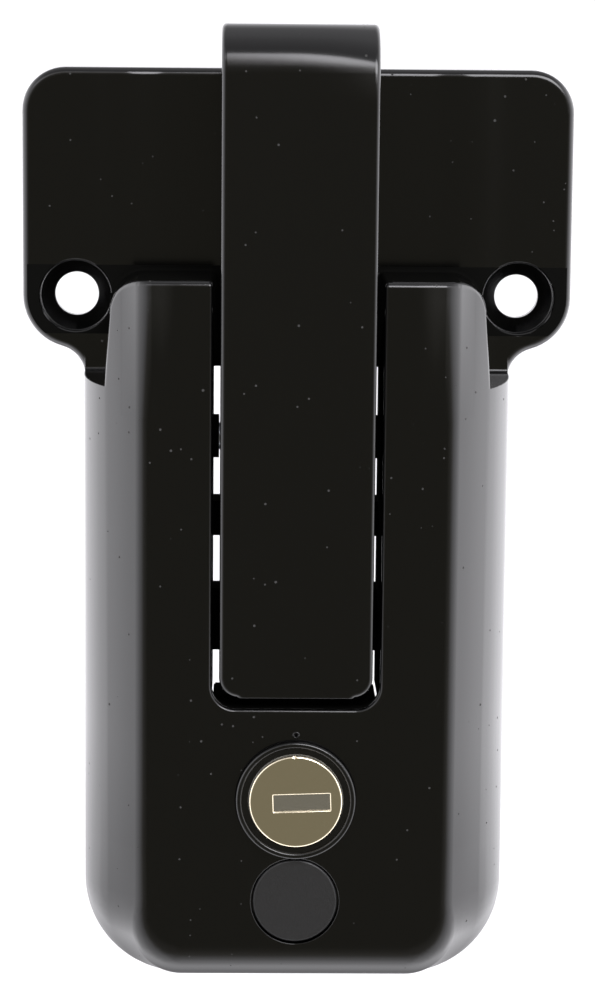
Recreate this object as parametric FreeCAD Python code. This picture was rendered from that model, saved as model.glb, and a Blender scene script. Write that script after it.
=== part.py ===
# Cam bar door latch.
#
# A die cast housing is screwed flat to a trailer door. The handle of the cam bar lies across it, in the
# pocket between the flange, the shoulders of the body and a spring loaded lever with a rolled hook.
# Pressing the tail of the lever into its slot swings the hook out. A key cylinder turns a cam behind the
# tail, so that it can't be pressed in.
#
# Millimetres. X runs across, Z up. The door is the plane y = 0 and the front looks along -Y, so a depth d
# in front of the door is y = -d. The origin lies on the door, midway between the two upper screw holes.

import FreeCAD, Part
import math
import os

V = FreeCAD.Vector
os.makedirs("parts", exist_ok=True)

# Flange against the door, with a lug round each of its two screw holes
HOLE_SPACING = 82.0
HOLE_R = 4.05
SCREW_HEAD_R = 6.6
SCREW_SEAT_DEPTH = 2.0
HOLE_CHAMFER = 0.3
LUG_R = 9.8
LUG_FILLET_R = 5.8
FLANGE_TOP = 42.0
FLANGE_BOTTOM = -12.9
FLANGE_T = 7.0
FLANGE_CORNER_R = 8.0
FLANGE_EDGE_R = 1.3
FLANGE_SKIN = 3.5
FLANGE_RIM = 4.0
CORED_CORNER_R = 1.5

# Hollow body below the flange
BODY_WIDTH = 78.6
BODY_TOP = 4.8
BODY_DEPTH = 28.0
BODY_CORNER_R = 18.5
WALL = 3.0
SIDE_UPRIGHT = 9.5
SIDE_SWEEP_R = 17.0
SIDE_LEAN = 44.0
FRONT_ROLL_R = 4.0
FOOT_LEAN = 15.0
FOOT_ROLL_R = 7.0
CORNER_SECTIONS = 5
SHOULDER_EDGE_R = 1.0
RIB_T = 2.5
RIB_BACK = 4.0

# Pockets that clear the screw heads beside the body
HEAD_CLEARANCE = 0.8
POCKET_TAPER = 1.4
POCKET_CORNER_R = 6.0
POCKET_FLOOR = -13.7
POCKET_FLOOR_SLOPE = 6.0
POCKET_RUN = 8.0
POCKET_FILLET_R = 0.6

# Slot of the lever, between two cheeks
LEVER_WIDTH = 28.0
SLOT_CLEARANCE = 1.4
SLOT_BOTTOM = -73.45
SLOT_CORNER_R = 4.3
SLOT_LIP_T = 4.0
SLOT_RELIEF = 0.8
SLOT_EDGE_R = 0.6
CHEEK_T = 3.0
CHEEK_BACK = 0.6

# Lever with its hook and tail
PIVOT_DEPTH = 14.0
PIVOT_Z = -25.0
PIN_R = 2.5
RUNNING_GAP = 0.05
SWING = 17.0
LEVER_T = 3.6
TAIL_GAP = 2.25
LEVER_PROUD = 0.7
LEVER_LEAN = 1.5
LEVER_EDGE_R = 0.9
LEVER_CORNER_R = 3.6
HOOK_RISE = 8.4
HOOK_R = 8.2
HOOK_TIP_GAP = 2.0
HOOK_TIP_SLOPE = 12.0
EAR_T = 4.2
EAR_EDGE = 5.6
EAR_RISE = 26.0
EAR_DROP = 19.0
EAR_ROOT_R = 2.0
HEEL_R = 1.5
EAR_BACK_R = 4.0
EAR_FOOT_R = 3.0
HEEL_ABOVE = 3.0
HEEL_BELOW = 2.0
HEEL_GAP = 0.3
SIDE_RIB_T = 2.4
SIDE_RIB_H = 4.0
TAIL_WEB_T = 3.0

# Cross ribs between the cheeks
UPPER_RIB_DROP = 13.0
UPPER_RIB_H = 6.5
STOP_DROP = 29.7
STOP_H = 11.7
STOP_GAP = 0.3

# Pivot pin, clips and spring
BOSS_R = 4.0
THRUST_GAP = 0.3
PIN_CLIP_T = 0.8
PIN_CLIP_R = 4.6
PIN_CLIP_GAP = 0.05
PIN_END = 1.4
GROOVE_DEPTH = 0.6
SPRING_WIRE_R = 0.8
SPRING_COIL_R = 4.2
SPRING_TURNS = 2
SPRING_PITCH = 1.75
SPRING_SIDE_GAP = 0.4
SPRING_REST_GAP = 0.05
SPRING_LOOP_DROP = 13.0
SPRING_BEND_R = 1.6

# Key cylinder: its place, fixed shell, ring and clip
LOCK_X = 0.15
LOCK_SPACE = 5.85
INDEX_SPACE = 1.1
INDEX_R = 0.45
BARREL_LENGTH = 12.4
BARREL_LIP = 0.8
BARREL_FLANGE_T = 0.7
BORE_GAP = 0.1
GASKET_T = 0.5
BEZEL_WALL = 1.0
BEZEL_RIM = 1.15
BEZEL_LEDGE_T = 0.3
BEZEL_HEIGHT = 1.5
BEZEL_EDGE_R = 0.45
CLIP_T = 0.9
CLIP_BAND = 2.4
CLIP_BITE = 0.7
CLIP_LEG = 8.0
CLIP_TOP_R = 5.0
CLIP_LEG_R = 1.5
SEAT_GAP = 0.02

# Key cylinder: turning core, cap and dust door. The key's width sets the core, and the core the barrel.
KEYWAY_W = 9.0
KEYWAY_H = 2.6
KEY_LAND = 2.3
SHELL_WALL = 2.4
HEAD_WALL = 1.1
CORE_HEAD_T = 4.0
CORE_REST_TURN = 2.0
CAP_WALL = 0.45
CAP_GAP = 0.2
CAP_PROUD = 2.0
CAP_T = 0.4
CAP_SKIRT = 1.2
CAP_EDGE_R = 0.35
CAP_NICK_R = 0.35
CAP_SLOT_R = 0.2
SLOT_ROOM_X = 0.7
SLOT_ROOM_Z = 0.275
SHUTTER_T = 0.5
SHUTTER_LAP = 0.4
SHUTTER_SHIFT = 1.1
SHUTTER_SINK = 0.2
SHUTTER_PIN_R = 0.3
SHUTTER_KNUCKLE_R = 0.6
SHUTTER_ROOM = 0.3
SHUTTER_SWING = 70.0

# Key cylinder: wafers and what stands on the back
WAFER_COUNT = 5
WAFER_START = 1.9
WAFER_PITCH = 1.7
WAFER_T = 0.8
WAFER_WEB = 1.7
WAFER_GAP = 0.05
WAFER_LUG_INSET = 0.95
WAFER_LUG_W = 1.3
WAFER_LUG_H = 1.4
WAFER_SPRING_R = 0.4
WAFER_SPRING_LENGTH = 5.45
STACK_GAP = 0.1
STOP_WASHER_T = 0.7
STOP_WASHER_STEP = 1.2
TANG_HALF = 3.2
CAM_T = 1.9
CAM_OVERLAP = 2.4
CAM_HUB_STEP = 0.2
CAM_TIP_HALF = 3.0
CAM_TIP_R = 1.5
CAM_NECK_R = 3.0
CAM_CLEARANCE = 0.5
CAM_WASHER_T = 0.5
CAM_WASHER_R = 5.2
CAM_SCREW_R = 4.2
CAM_SCREW_HEAD = 2.0
CAM_SCREW_SHANK_R = 2.0
CAM_SCREW_TIP_GAP = 0.4
RECESS_WIDTH = 1.0
RECESS_SHARE = 0.6

# Plug over the third screw
PLUG_SPACE = 0.15
PLUG_R = 7.85
PLUG_HOLE_R = 8.15
PLUG_HEAD_T = 1.5
PLUG_INSET = 0.2
PLUG_EDGE_R = 0.5
PLUG_STEM_R = 6.3
PLUG_STEM_LENGTH = 5.0
PLUG_STEM_WALL = 1.2
PLUG_SLIT = 1.6
PLUG_SLIT_FLOOR = 0.8
PLUG_FIT = 0.05
TOWER_WALL = 1.6
TOWER_FLOOR = 4.0
THIRD_HOLE_R = 3.3
FOOT_DROP = 18.4

# Worked out from the sizes above
HALF_SPACING = HOLE_SPACING / 2
HALF_FLANGE = HALF_SPACING + LUG_R
HALF_BODY = BODY_WIDTH / 2
POCKET_WALL_HIGH = HALF_SPACING - SCREW_HEAD_R - HEAD_CLEARANCE
POCKET_WALL_LOW = POCKET_WALL_HIGH + POCKET_TAPER
HALF_LEVER = LEVER_WIDTH / 2
HALF_SLOT = HALF_LEVER + SLOT_CLEARANCE
CHEEK_OUT = HALF_SLOT + CHEEK_T
FRONT_INSIDE = BODY_DEPTH - WALL
LEVER_FRONT = BODY_DEPTH + LEVER_PROUD
LEVER_BOTTOM = SLOT_BOTTOM + TAIL_GAP
LEVER_RIB_BACK = LEVER_FRONT - LEVER_T - SIDE_RIB_H
HOOK_TOP = FLANGE_TOP + HOOK_RISE
UPPER_RIB_TOP = PIVOT_Z - UPPER_RIB_DROP
UPPER_RIB_FRONT = PIVOT_DEPTH - SPRING_COIL_R - SPRING_WIRE_R - SPRING_REST_GAP
STOP_TOP = PIVOT_Z - STOP_DROP
CORE_R = KEYWAY_W / 2 + KEY_LAND
BARREL_R = CORE_R + SHELL_WALL
BARREL_FLANGE_R = BARREL_R + BARREL_LIP
BEZEL_R = BARREL_FLANGE_R + BEZEL_WALL
CORE_HEAD_R = BARREL_R - HEAD_WALL
CAP_R = CORE_HEAD_R + CAP_WALL
CLIP_OUTER = BARREL_R + CLIP_BAND
CLIP_GRIP = BARREL_R - CLIP_BITE
STOP_WASHER_R = BARREL_R - STOP_WASHER_STEP
CAM_HUB_R = CORE_R + CAM_HUB_STEP
LOCK_DROP = BEZEL_R + LOCK_SPACE
LOCK_Z = SLOT_BOTTOM - LOCK_DROP
PLUG_Z = LOCK_Z - BEZEL_R - PLUG_HOLE_R - PLUG_SPACE
BODY_BOTTOM = PLUG_Z - FOOT_DROP
CAP_FRONT = BODY_DEPTH + CAP_PROUD
HEAD_FRONT = CAP_FRONT - CAP_T
HEAD_BACK = HEAD_FRONT - CORE_HEAD_T
SHUTTER_W = KEYWAY_W + 2 * SLOT_ROOM_X
SHUTTER_H = KEYWAY_H + 2 * SLOT_ROOM_Z
SHUTTER_X = LOCK_X + SHUTTER_SHIFT
SHUTTER_Z = LOCK_Z - SHUTTER_SINK
HINGE_DEPTH = HEAD_FRONT - SEAT_GAP - SHUTTER_KNUCKLE_R
HINGE_Z = SHUTTER_Z + SHUTTER_H / 2 + SHUTTER_LAP
BARREL_BACK = BODY_DEPTH - BARREL_LENGTH
CORE_BACK = BARREL_BACK - STACK_GAP
CAM_FRONT = CORE_BACK - STOP_WASHER_T
CAM_BACK = CAM_FRONT - CAM_T
SCREW_SEAT = CAM_BACK - CAM_WASHER_T
CAM_LENGTH = LOCK_DROP + TAIL_GAP + CAM_OVERLAP
TAIL_WEB_BACK = CAM_FRONT + CAM_CLEARANCE
WAFER_H = KEYWAY_H + 2 * WAFER_WEB
WAFER_LUG_X = WAFER_LUG_INSET - KEYWAY_W / 2
WAFER_SPRING_END = WAFER_LUG_X + WAFER_LUG_W / 2 + WAFER_SPRING_LENGTH
WAFER_LAST = CORE_BACK + WAFER_START
WAFER_DEPTHS = [WAFER_LAST + i * WAFER_PITCH for i in range(WAFER_COUNT)]
SCREW_TIP = WAFER_LAST - WAFER_T / 2 - CAM_SCREW_TIP_GAP

# How far a rib runs into the wall that carries it, how far a cutter runs past what it cuts, and how
# near an edge must lie to a plane to count as on it
BITE = 1.0
HUGE = 300.0
NEAR = 0.01


def at(x, depth, z):
    """A point by its place across, its depth in front of the door and its height."""
    return V(x, -depth, z)


def box(x0, x1, d0, d1, z0, z1):
    """A block between two places across, two depths and two heights."""
    return Part.makeBox(x1 - x0, d1 - d0, z1 - z0, V(x0, -d1, z0))


def rod(radius, d0, d1, x, z):
    """A round bar that points out of the door, between two depths."""
    return Part.makeCylinder(radius, d1 - d0, at(x, d0, z), V(0, -1, 0))


def cross_rod(radius, x0, x1, depth, z):
    """A round bar that lies across."""
    return Part.makeCylinder(radius, x1 - x0, at(x0, depth, z), V(1, 0, 0))


def ring(outer, inner, d0, d1, x, z):
    """A flat ring that faces out of the door."""
    return rod(outer, d0, d1, x, z).cut(rod(inner, d0 - BITE, d1 + BITE, x, z))


def rounded_wire(corners, place):
    """A closed outline through corners (a, b, radius), each corner rounded by a tangent arc."""
    spots = []
    count = len(corners)
    for i, (a, b, radius) in enumerate(corners):
        here = V(a, b, 0)
        if radius == 0:
            spots.append((here, None, here))
            continue
        back = V(*corners[i - 1][:2], 0) - here
        ahead = V(*corners[(i + 1) % count][:2], 0) - here
        back.normalize()
        ahead.normalize()
        half = back.getAngle(ahead) / 2
        reach = radius / math.tan(half)
        middle = back + ahead
        middle.normalize()
        centre = here + middle * (radius / math.sin(half))
        spots.append((here + back * reach, centre - middle * radius, here + ahead * reach))
    edges = []
    for i, (start, middle, end) in enumerate(spots):
        if middle is not None:
            edges.append(Part.Arc(place(start), place(middle), place(end)).toShape())
        following = spots[(i + 1) % count][0]
        if (following - end).Length > 1e-6:
            edges.append(Part.LineSegment(place(end), place(following)).toShape())
    return Part.Wire(edges)


def front_plate(corners, d0, d1):
    """A plate with a rounded outline drawn in the front view, between two depths."""
    wire = rounded_wire(corners, lambda p: at(p.x, d0, p.y))
    return Part.Face(wire).extrude(V(0, d0 - d1, 0))


def side_plate(corners, x0, x1):
    """A plate with a rounded outline drawn in the side view as (depth, height), between two places."""
    wire = rounded_wire(corners, lambda p: at(x0, p.x, p.y))
    return Part.Face(wire).extrude(V(x1 - x0, 0, 0))


def turned(corners, x, z):
    """A turned piece: an outline of (radius, depth) corners, spun about an axis out of the door."""
    wire = rounded_wire(corners, lambda p: at(x + p.x, p.y, z))
    return Part.Face(wire).revolve(at(x, 0, z), V(0, 1, 0), 360)


def both_sides(shape):
    """The shape and its mirror image about the middle plane."""
    return [shape, shape.mirror(V(0, 0, 0), V(1, 0, 0))]


def fillet_edges(shape, radius, wanted):
    """The shape with a fillet on every edge that the test picks."""
    chosen = [edge for edge in shape.Edges if wanted(edge)]
    return shape.makeFillet(radius, chosen)


def turn_core(shape):
    """Turns a piece of the lock core from square to the small angle at which the key left it."""
    result = shape.copy()
    result.rotate(at(LOCK_X, 0, LOCK_Z), V(0, -1, 0), CORE_REST_TURN)
    return result


def save(name, shape):
    """Writes one piece, or one group of like pieces, and prints its size."""
    if shape.isNull() or not shape.isValid():
        print("CHECK", name, "is not valid")
    shape.exportStep("parts/" + name + ".step")
    print(name, "solids", len(shape.Solids), "volume", round(shape.Volume, 1))


# Housing


def wall_section(inset, lean_angle, front_roll):
    """The section of the body's side: upright at the door, swept inward, then rolled to the flat front.

    It is drawn from beside the axis of a bottom corner outward. The inside of the wall is the same line
    inset.
    """
    lean = math.radians(lean_angle)
    sweep_r = SIDE_SWEEP_R - inset
    roll_r = front_roll - inset
    out = BODY_CORNER_R - inset
    front = BODY_DEPTH - inset
    sweep_c = (out - sweep_r, SIDE_UPRIGHT)
    rise = front - roll_r - SIDE_UPRIGHT - (sweep_r - roll_r) * math.sin(lean)
    run = rise * math.tan(lean)
    roll_c = (sweep_c[0] + (sweep_r - roll_r) * math.cos(lean) - run, front - roll_r)

    def on_arc(centre, radius, angle):
        return (centre[0] + radius * math.cos(angle), centre[1] + radius * math.sin(angle))

    mid_roll = (lean + math.pi / 2) / 2
    return [
        ("line", (BITE, 0), (out, 0)),
        ("line", (out, 0), (out, SIDE_UPRIGHT)),
        ("arc", (out, SIDE_UPRIGHT), on_arc(sweep_c, sweep_r, lean / 2), on_arc(sweep_c, sweep_r, lean)),
        ("line", on_arc(sweep_c, sweep_r, lean), on_arc(roll_c, roll_r, lean)),
        ("arc", on_arc(roll_c, roll_r, lean), on_arc(roll_c, roll_r, mid_roll), (roll_c[0], front)),
        ("line", (roll_c[0], front), (BITE, front)),
        ("line", (BITE, front), (BITE, 0)),
    ]


def section_wire(inset, lean_angle, front_roll, place):
    """The wall section as a closed wire, put where the place function says."""
    edges = []
    for kind, *points in wall_section(inset, lean_angle, front_roll):
        spots = [place(u, d) for u, d in points]
        if kind == "line":
            edges.append(Part.LineSegment(*spots).toShape())
        else:
            edges.append(Part.Arc(*spots).toShape())
    return Part.Wire(edges)


def tub(inset, top):
    """The body's solid form: a leaning wall down each side, a steeper one across the foot, and corners
    that turn the one section into the other on their way round."""
    axis_x = HALF_BODY - BODY_CORNER_R
    axis_z = BODY_BOTTOM + BODY_CORNER_R

    def section(share):
        """The section at a share of the turn from side to foot, eased so that both ends meet smoothly."""
        angle = share * math.pi / 2
        eased = share * share * (3 - 2 * share)
        lean = SIDE_LEAN + (FOOT_LEAN - SIDE_LEAN) * eased
        roll = FRONT_ROLL_R + (FOOT_ROLL_R - FRONT_ROLL_R) * eased
        across = math.cos(angle)
        down = math.sin(angle)
        return section_wire(inset, lean, roll, lambda u, d: at(axis_x + u * across, d, axis_z - u * down))

    sections = [section(i / (CORNER_SECTIONS - 1)) for i in range(CORNER_SECTIONS)]
    slant = BODY_CORNER_R * math.sqrt(0.5)
    way = Part.Arc(
        at(axis_x + BODY_CORNER_R, 0, axis_z),
        at(axis_x + slant, 0, axis_z - slant),
        at(axis_x, 0, axis_z - BODY_CORNER_R),
    )
    corner = Part.Wire([way.toShape()]).makePipeShell(sections, True, True)
    solids = both_sides(Part.Face(sections[0]).extrude(V(0, 0, top - axis_z)))
    solids += both_sides(corner)
    solids.append(Part.Face(sections[-1]).extrude(V(-2 * axis_x, 0, 0)))
    inner_x = axis_x + 2 * BITE
    front = BODY_DEPTH - inset
    solids.append(box(-inner_x, inner_x, 0, front, axis_z, top))
    solids.append(box(-axis_x, axis_x, 0, front, axis_z - 2 * BITE, axis_z + BITE))
    solids += both_sides(rod(2 * BITE, 0, front, axis_x, axis_z))
    return solids[0].fuse(solids[1:]).removeSplitter()


def flange():
    """The flange with its two lugs: their outline runs round the holes and sweeps into the body."""
    fillet_x = HALF_BODY + LUG_FILLET_R
    fall = math.sqrt((LUG_R + LUG_FILLET_R) ** 2 - (fillet_x - HALF_SPACING) ** 2)
    lug_c = V(HALF_SPACING, 0, 0)
    fillet_c = V(fillet_x, -fall, 0)
    toward = fillet_c - lug_c
    toward.normalize()
    meet = lug_c + toward * LUG_R
    outward = V(1, 0, 0) + toward
    outward.normalize()
    inward = V(-1, 0, 0) - toward
    inward.normalize()
    lug_mid = lug_c + outward * LUG_R
    fillet_mid = fillet_c + inward * LUG_FILLET_R

    def place(sign, p):
        return at(sign * p.x, 0, p.y)

    corner = FLANGE_CORNER_R
    slack = corner * (1 - math.sqrt(0.5))
    side_top = V(HALF_FLANGE, FLANGE_TOP - corner, 0)
    top = V(HALF_FLANGE - corner, FLANGE_TOP, 0)
    low = V(HALF_BODY, -fall, 0)
    lines = [(side_top, V(HALF_FLANGE, 0, 0))]
    arcs = [
        (side_top, V(HALF_FLANGE - slack, FLANGE_TOP - slack, 0), top),
        (V(HALF_FLANGE, 0, 0), lug_mid, meet),
        (meet, fillet_mid, low),
    ]
    edges = []
    for sign in (1, -1):
        edges += [Part.LineSegment(*(place(sign, p) for p in line)).toShape() for line in lines]
        edges += [Part.Arc(*(place(sign, p) for p in arc)).toShape() for arc in arcs]
    for end in (top, low):
        edges.append(Part.LineSegment(place(1, end), place(-1, end)).toShape())
    outline = Part.Wire(Part.__sortEdges__(edges))
    plate = Part.Face(outline).extrude(V(0, -FLANGE_T, 0))

    def front_rim(edge):
        on_front = abs(edge.BoundBox.YMax + FLANGE_T) < NEAR
        return on_front and edge.BoundBox.ZMax > NEAR - fall

    return fillet_edges(plate, FLANGE_EDGE_R, front_rim)


def pocket_cutter():
    """What is cut away beside the body so that a screw head and its driver pass, on the right side."""
    below = POCKET_FLOOR - POCKET_RUN
    above = BODY_TOP + POCKET_RUN
    slant = (POCKET_WALL_LOW - POCKET_WALL_HIGH) / (BODY_TOP - POCKET_FLOOR)
    foot_x = POCKET_WALL_LOW + slant * POCKET_RUN
    inner_x = POCKET_WALL_HIGH - 2 * POCKET_CORNER_R
    corners = [
        (foot_x, below, 0),
        (POCKET_WALL_HIGH, BODY_TOP, POCKET_CORNER_R),
        (inner_x, BODY_TOP, 0),
        (inner_x, above, 0),
        (HUGE, above, 0),
        (HUGE, below, 0),
    ]
    block = front_plate(corners, FLANGE_T, HUGE)
    drop = (HUGE - FLANGE_T) * math.tan(math.radians(POCKET_FLOOR_SLOPE))
    floor_corners = [
        (FLANGE_T - BITE, below - BITE, 0),
        (FLANGE_T - BITE, POCKET_FLOOR, 0),
        (FLANGE_T, POCKET_FLOOR, 0),
        (HUGE, POCKET_FLOOR - drop, 0),
        (HUGE, below - drop, 0),
    ]
    return block.cut(side_plate(floor_corners, 0, HUGE))


def hollow():
    """The inside of the body, open at the door, kept clear of the pockets beside it."""
    inside = tub(WALL, BODY_TOP - WALL)
    neck = POCKET_WALL_HIGH - WALL
    fall = (BODY_DEPTH - FLANGE_T) * math.tan(math.radians(POCKET_FLOOR_SLOPE))
    keep = box(neck, HUGE, -BITE, HUGE, POCKET_FLOOR - fall - WALL, HUGE)
    return inside.cut(both_sides(keep))


def inner_walls():
    """Cheeks beside the slot, a sill under it, side webs, the third screw's tower and its foot rib."""
    sill_foot = SLOT_BOTTOM - SLOT_RELIEF - CHEEK_T
    deep = FRONT_INSIDE + BITE
    cheek = box(HALF_SLOT, CHEEK_OUT, CHEEK_BACK, deep, sill_foot, BODY_TOP - BITE)
    cheek = cheek.cut(rod(CAM_LENGTH + BITE, -BITE, CAM_FRONT + CAM_CLEARANCE, LOCK_X, LOCK_Z))
    sill = box(-CHEEK_OUT, CHEEK_OUT, BARREL_BACK + BITE, deep, sill_foot, SLOT_BOTTOM)
    web = box(CHEEK_OUT - BITE, HALF_BODY - BITE, RIB_BACK, BODY_DEPTH - BITE, STOP_TOP - RIB_T, STOP_TOP)
    tower = rod(PLUG_STEM_R + PLUG_FIT + TOWER_WALL, 0, deep, LOCK_X, PLUG_Z)
    half_rib = RIB_T / 2
    foot_rib = box(LOCK_X - half_rib, LOCK_X + half_rib, BITE, deep, BODY_BOTTOM + BITE, PLUG_Z)
    inside = tub(WALL / 2, BODY_TOP)
    return [sill, tower, foot_rib.common(inside)] + both_sides(cheek) + both_sides(web.common(inside))


def slot_opening(bottom, d0, d1):
    """The slot's outline, down to a rounded lower end, between two depths."""
    corners = [
        (-HALF_SLOT, bottom, SLOT_CORNER_R),
        (HALF_SLOT, bottom, SLOT_CORNER_R),
        (HALF_SLOT, FLANGE_BOTTOM, 0),
        (-HALF_SLOT, FLANGE_BOTTOM, 0),
    ]
    return front_plate(corners, d0, d1)


def slot_cutter():
    """The slot, open at the top. Behind its front lip it is deeper, to clear the swinging tail."""
    lip_back = BODY_DEPTH - SLOT_LIP_T
    front = slot_opening(SLOT_BOTTOM, -BITE, HUGE)
    behind = slot_opening(SLOT_BOTTOM - SLOT_RELIEF, -BITE, lip_back)
    above = box(-HALF_SLOT, HALF_SLOT, FLANGE_T, HUGE, FLANGE_BOTTOM - BITE, BODY_TOP + POCKET_RUN)
    return front.fuse([behind, above])


def stop_front():
    """How far forward the stop rib reaches: just behind the lever's ribs when the tail is fully in."""
    swing = math.radians(SWING)
    ahead = LEVER_RIB_BACK - PIVOT_DEPTH
    below = (STOP_DROP + STOP_H) / math.cos(swing) - ahead * math.tan(swing)
    return PIVOT_DEPTH + ahead * math.cos(swing) - below * math.sin(swing) - STOP_GAP


def cross_ribs():
    """The rib that the spring's legs lean on, the stop rib, and the thrust pads round the pivot."""
    side = HALF_SLOT + BITE
    upper = box(-side, side, CHEEK_BACK, UPPER_RIB_FRONT, UPPER_RIB_TOP - UPPER_RIB_H, UPPER_RIB_TOP)
    stop = box(-side, side, CHEEK_BACK, stop_front(), STOP_TOP - STOP_H, STOP_TOP)
    pad = cross_rod(BOSS_R, HALF_LEVER + THRUST_GAP, CHEEK_OUT, PIVOT_DEPTH, PIVOT_Z)
    return [upper, stop] + both_sides(pad)


def holes():
    """Pivot bore, screw holes, the seats of the key cylinder and its index mark, and the plug's hole."""
    cuts = [cross_rod(PIN_R, -CHEEK_OUT - BITE, CHEEK_OUT + BITE, PIVOT_DEPTH, PIVOT_Z)]
    outward = V(0, -1, 0)
    sink = SCREW_HEAD_R - HOLE_R
    mouth_r = SCREW_HEAD_R + HOLE_CHAMFER
    past = BODY_DEPTH + BITE
    for x in (-HALF_SPACING, HALF_SPACING):
        cuts.append(rod(HOLE_R, -BITE, FLANGE_T + BITE, x, 0))
        cuts.append(Part.makeCone(HOLE_R, SCREW_HEAD_R, sink, at(x, SCREW_SEAT_DEPTH, 0), outward))
        cuts.append(rod(SCREW_HEAD_R, SCREW_SEAT_DEPTH + sink, FLANGE_T + BITE, x, 0))
        mouth = at(x, FLANGE_T - HOLE_CHAMFER, 0)
        cuts.append(Part.makeCone(SCREW_HEAD_R, mouth_r, HOLE_CHAMFER, mouth, outward))
    cuts.append(rod(BARREL_R + BORE_GAP, FRONT_INSIDE - BITE, past, LOCK_X, LOCK_Z))
    cuts.append(rod(BEZEL_R + BORE_GAP, BODY_DEPTH - GASKET_T, past, LOCK_X, LOCK_Z))
    mark = at(LOCK_X, BODY_DEPTH - INDEX_R, LOCK_Z + BEZEL_R + INDEX_SPACE)
    cuts.append(Part.makeCone(0, INDEX_R, INDEX_R, mark, outward))
    recess = BODY_DEPTH - PLUG_INSET - PLUG_HEAD_T
    cuts.append(rod(PLUG_HOLE_R, recess, past, LOCK_X, PLUG_Z))
    cuts.append(rod(PLUG_STEM_R + PLUG_FIT, TOWER_FLOOR, BODY_DEPTH, LOCK_X, PLUG_Z))
    cuts.append(rod(THIRD_HOLE_R, -BITE, TOWER_FLOOR + BITE, LOCK_X, PLUG_Z))
    return cuts


def flange_core():
    """What is cored out of the flange's back, on the right side, between its rim and a middle rib."""
    inner_x = HALF_SPACING - LUG_R
    outer_x = HALF_FLANGE - FLANGE_RIM
    corners = [
        (RIB_T / 2, BODY_TOP + FLANGE_RIM, CORED_CORNER_R),
        (RIB_T / 2, FLANGE_TOP - FLANGE_RIM, CORED_CORNER_R),
        (outer_x, FLANGE_TOP - FLANGE_RIM, FLANGE_CORNER_R - FLANGE_RIM),
        (outer_x, LUG_R + BITE, CORED_CORNER_R),
        (inner_x, LUG_R + BITE, CORED_CORNER_R),
        (inner_x, BODY_TOP + FLANGE_RIM, 0),
    ]
    return front_plate(corners, -BITE, FLANGE_T - FLANGE_SKIN)


def make_housing():
    slot = slot_cutter()
    body = tub(0, BODY_TOP).cut(both_sides(pocket_cutter()) + [slot]).removeSplitter()

    def shoulder(edge):
        bounds = edge.BoundBox
        level = abs(bounds.ZMax - BODY_TOP) < NEAR and abs(bounds.ZMin - BODY_TOP) < NEAR
        return level and bounds.YMin < -FLANGE_T - BITE and bounds.YMax < -FLANGE_T - BITE

    def slot_rim(edge):
        bounds = edge.BoundBox
        level = abs(bounds.YMax + BODY_DEPTH) < NEAR and abs(bounds.YMin + BODY_DEPTH) < NEAR
        return level and bounds.XMin > -HALF_SLOT - NEAR and bounds.XMax < HALF_SLOT + NEAR

    body = fillet_edges(body, SHOULDER_EDGE_R, shoulder)
    body = fillet_edges(body, SLOT_EDGE_R, slot_rim)

    # The hollow runs out through the flange as well, but for its strip between the cheeks
    inside = hollow()
    middle = box(-CHEEK_OUT, CHEEK_OUT, -BITE, HUGE, -HUGE, HUGE)
    plate = flange().cut(inside.cut(middle))
    shell = body.cut(inside).fuse([plate] + inner_walls()).cut(slot).removeSplitter()

    def pocket_foot(edge):
        """A line in the corner between the flange's front and what stands on it beside the screws."""
        bounds = edge.BoundBox
        level = abs(bounds.YMax + FLANGE_T) < NEAR and abs(bounds.YMin + FLANGE_T) < NEAR
        beside = min(abs(bounds.XMin), abs(bounds.XMax)) > HALF_SPACING - LUG_R
        middle = edge.valueAt((edge.FirstParameter + edge.LastParameter) / 2)
        return level and beside and shell.isInside(middle - V(0, 2 * NEAR, 0), NEAR, True)

    shell = fillet_edges(shell, POCKET_FILLET_R, pocket_foot).fuse(cross_ribs())
    return shell.cut(holes() + both_sides(flange_core())).removeSplitter()


# Lever


def strap_wire():
    """The side view of the strap: straight up the front, rolled back over the top to the hook's tip."""
    lean = math.radians(LEVER_LEAN)
    slope = math.radians(HOOK_TIP_SLOPE)
    up = V(math.sin(lean), math.cos(lean), 0)
    front = V(math.cos(lean), -math.sin(lean), 0)
    back = V(-math.cos(slope), -math.sin(slope), 0)
    top = V(-math.sin(slope), math.cos(slope), 0)
    middle = front + top
    middle.normalize()
    foot = V(LEVER_FRONT, LEVER_BOTTOM, 0)
    centre_z = HOOK_TOP - HOOK_R
    reach = (centre_z + front.y * HOOK_R - LEVER_BOTTOM) / up.y
    centre = foot + up * reach - front * HOOK_R
    tip_depth = FLANGE_T + HOOK_TIP_GAP
    nose = LEVER_T / 2
    tip_run = (centre.x + top.x * HOOK_R - tip_depth) / math.cos(slope)
    inner_r = HOOK_R - LEVER_T
    outer_end = centre + top * HOOK_R + back * (tip_run - nose)
    inner_end = outer_end - top * LEVER_T
    nose_mid = (outer_end + inner_end) * 0.5 + back * nose

    def place(p):
        return at(-HALF_LEVER, p.x, p.y)

    def line(a, b):
        return Part.LineSegment(place(a), place(b)).toShape()

    def arc(a, b, c):
        return Part.Arc(place(a), place(b), place(c)).toShape()

    return Part.Wire(
        [
            line(foot, centre + front * HOOK_R),
            arc(centre + front * HOOK_R, centre + middle * HOOK_R, centre + top * HOOK_R),
            line(centre + top * HOOK_R, outer_end),
            arc(outer_end, nose_mid, inner_end),
            line(inner_end, centre + top * inner_r),
            arc(centre + top * inner_r, centre + middle * inner_r, centre + front * inner_r),
            line(centre + front * inner_r, foot - front * LEVER_T),
            line(foot - front * LEVER_T, foot),
        ]
    )


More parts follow.
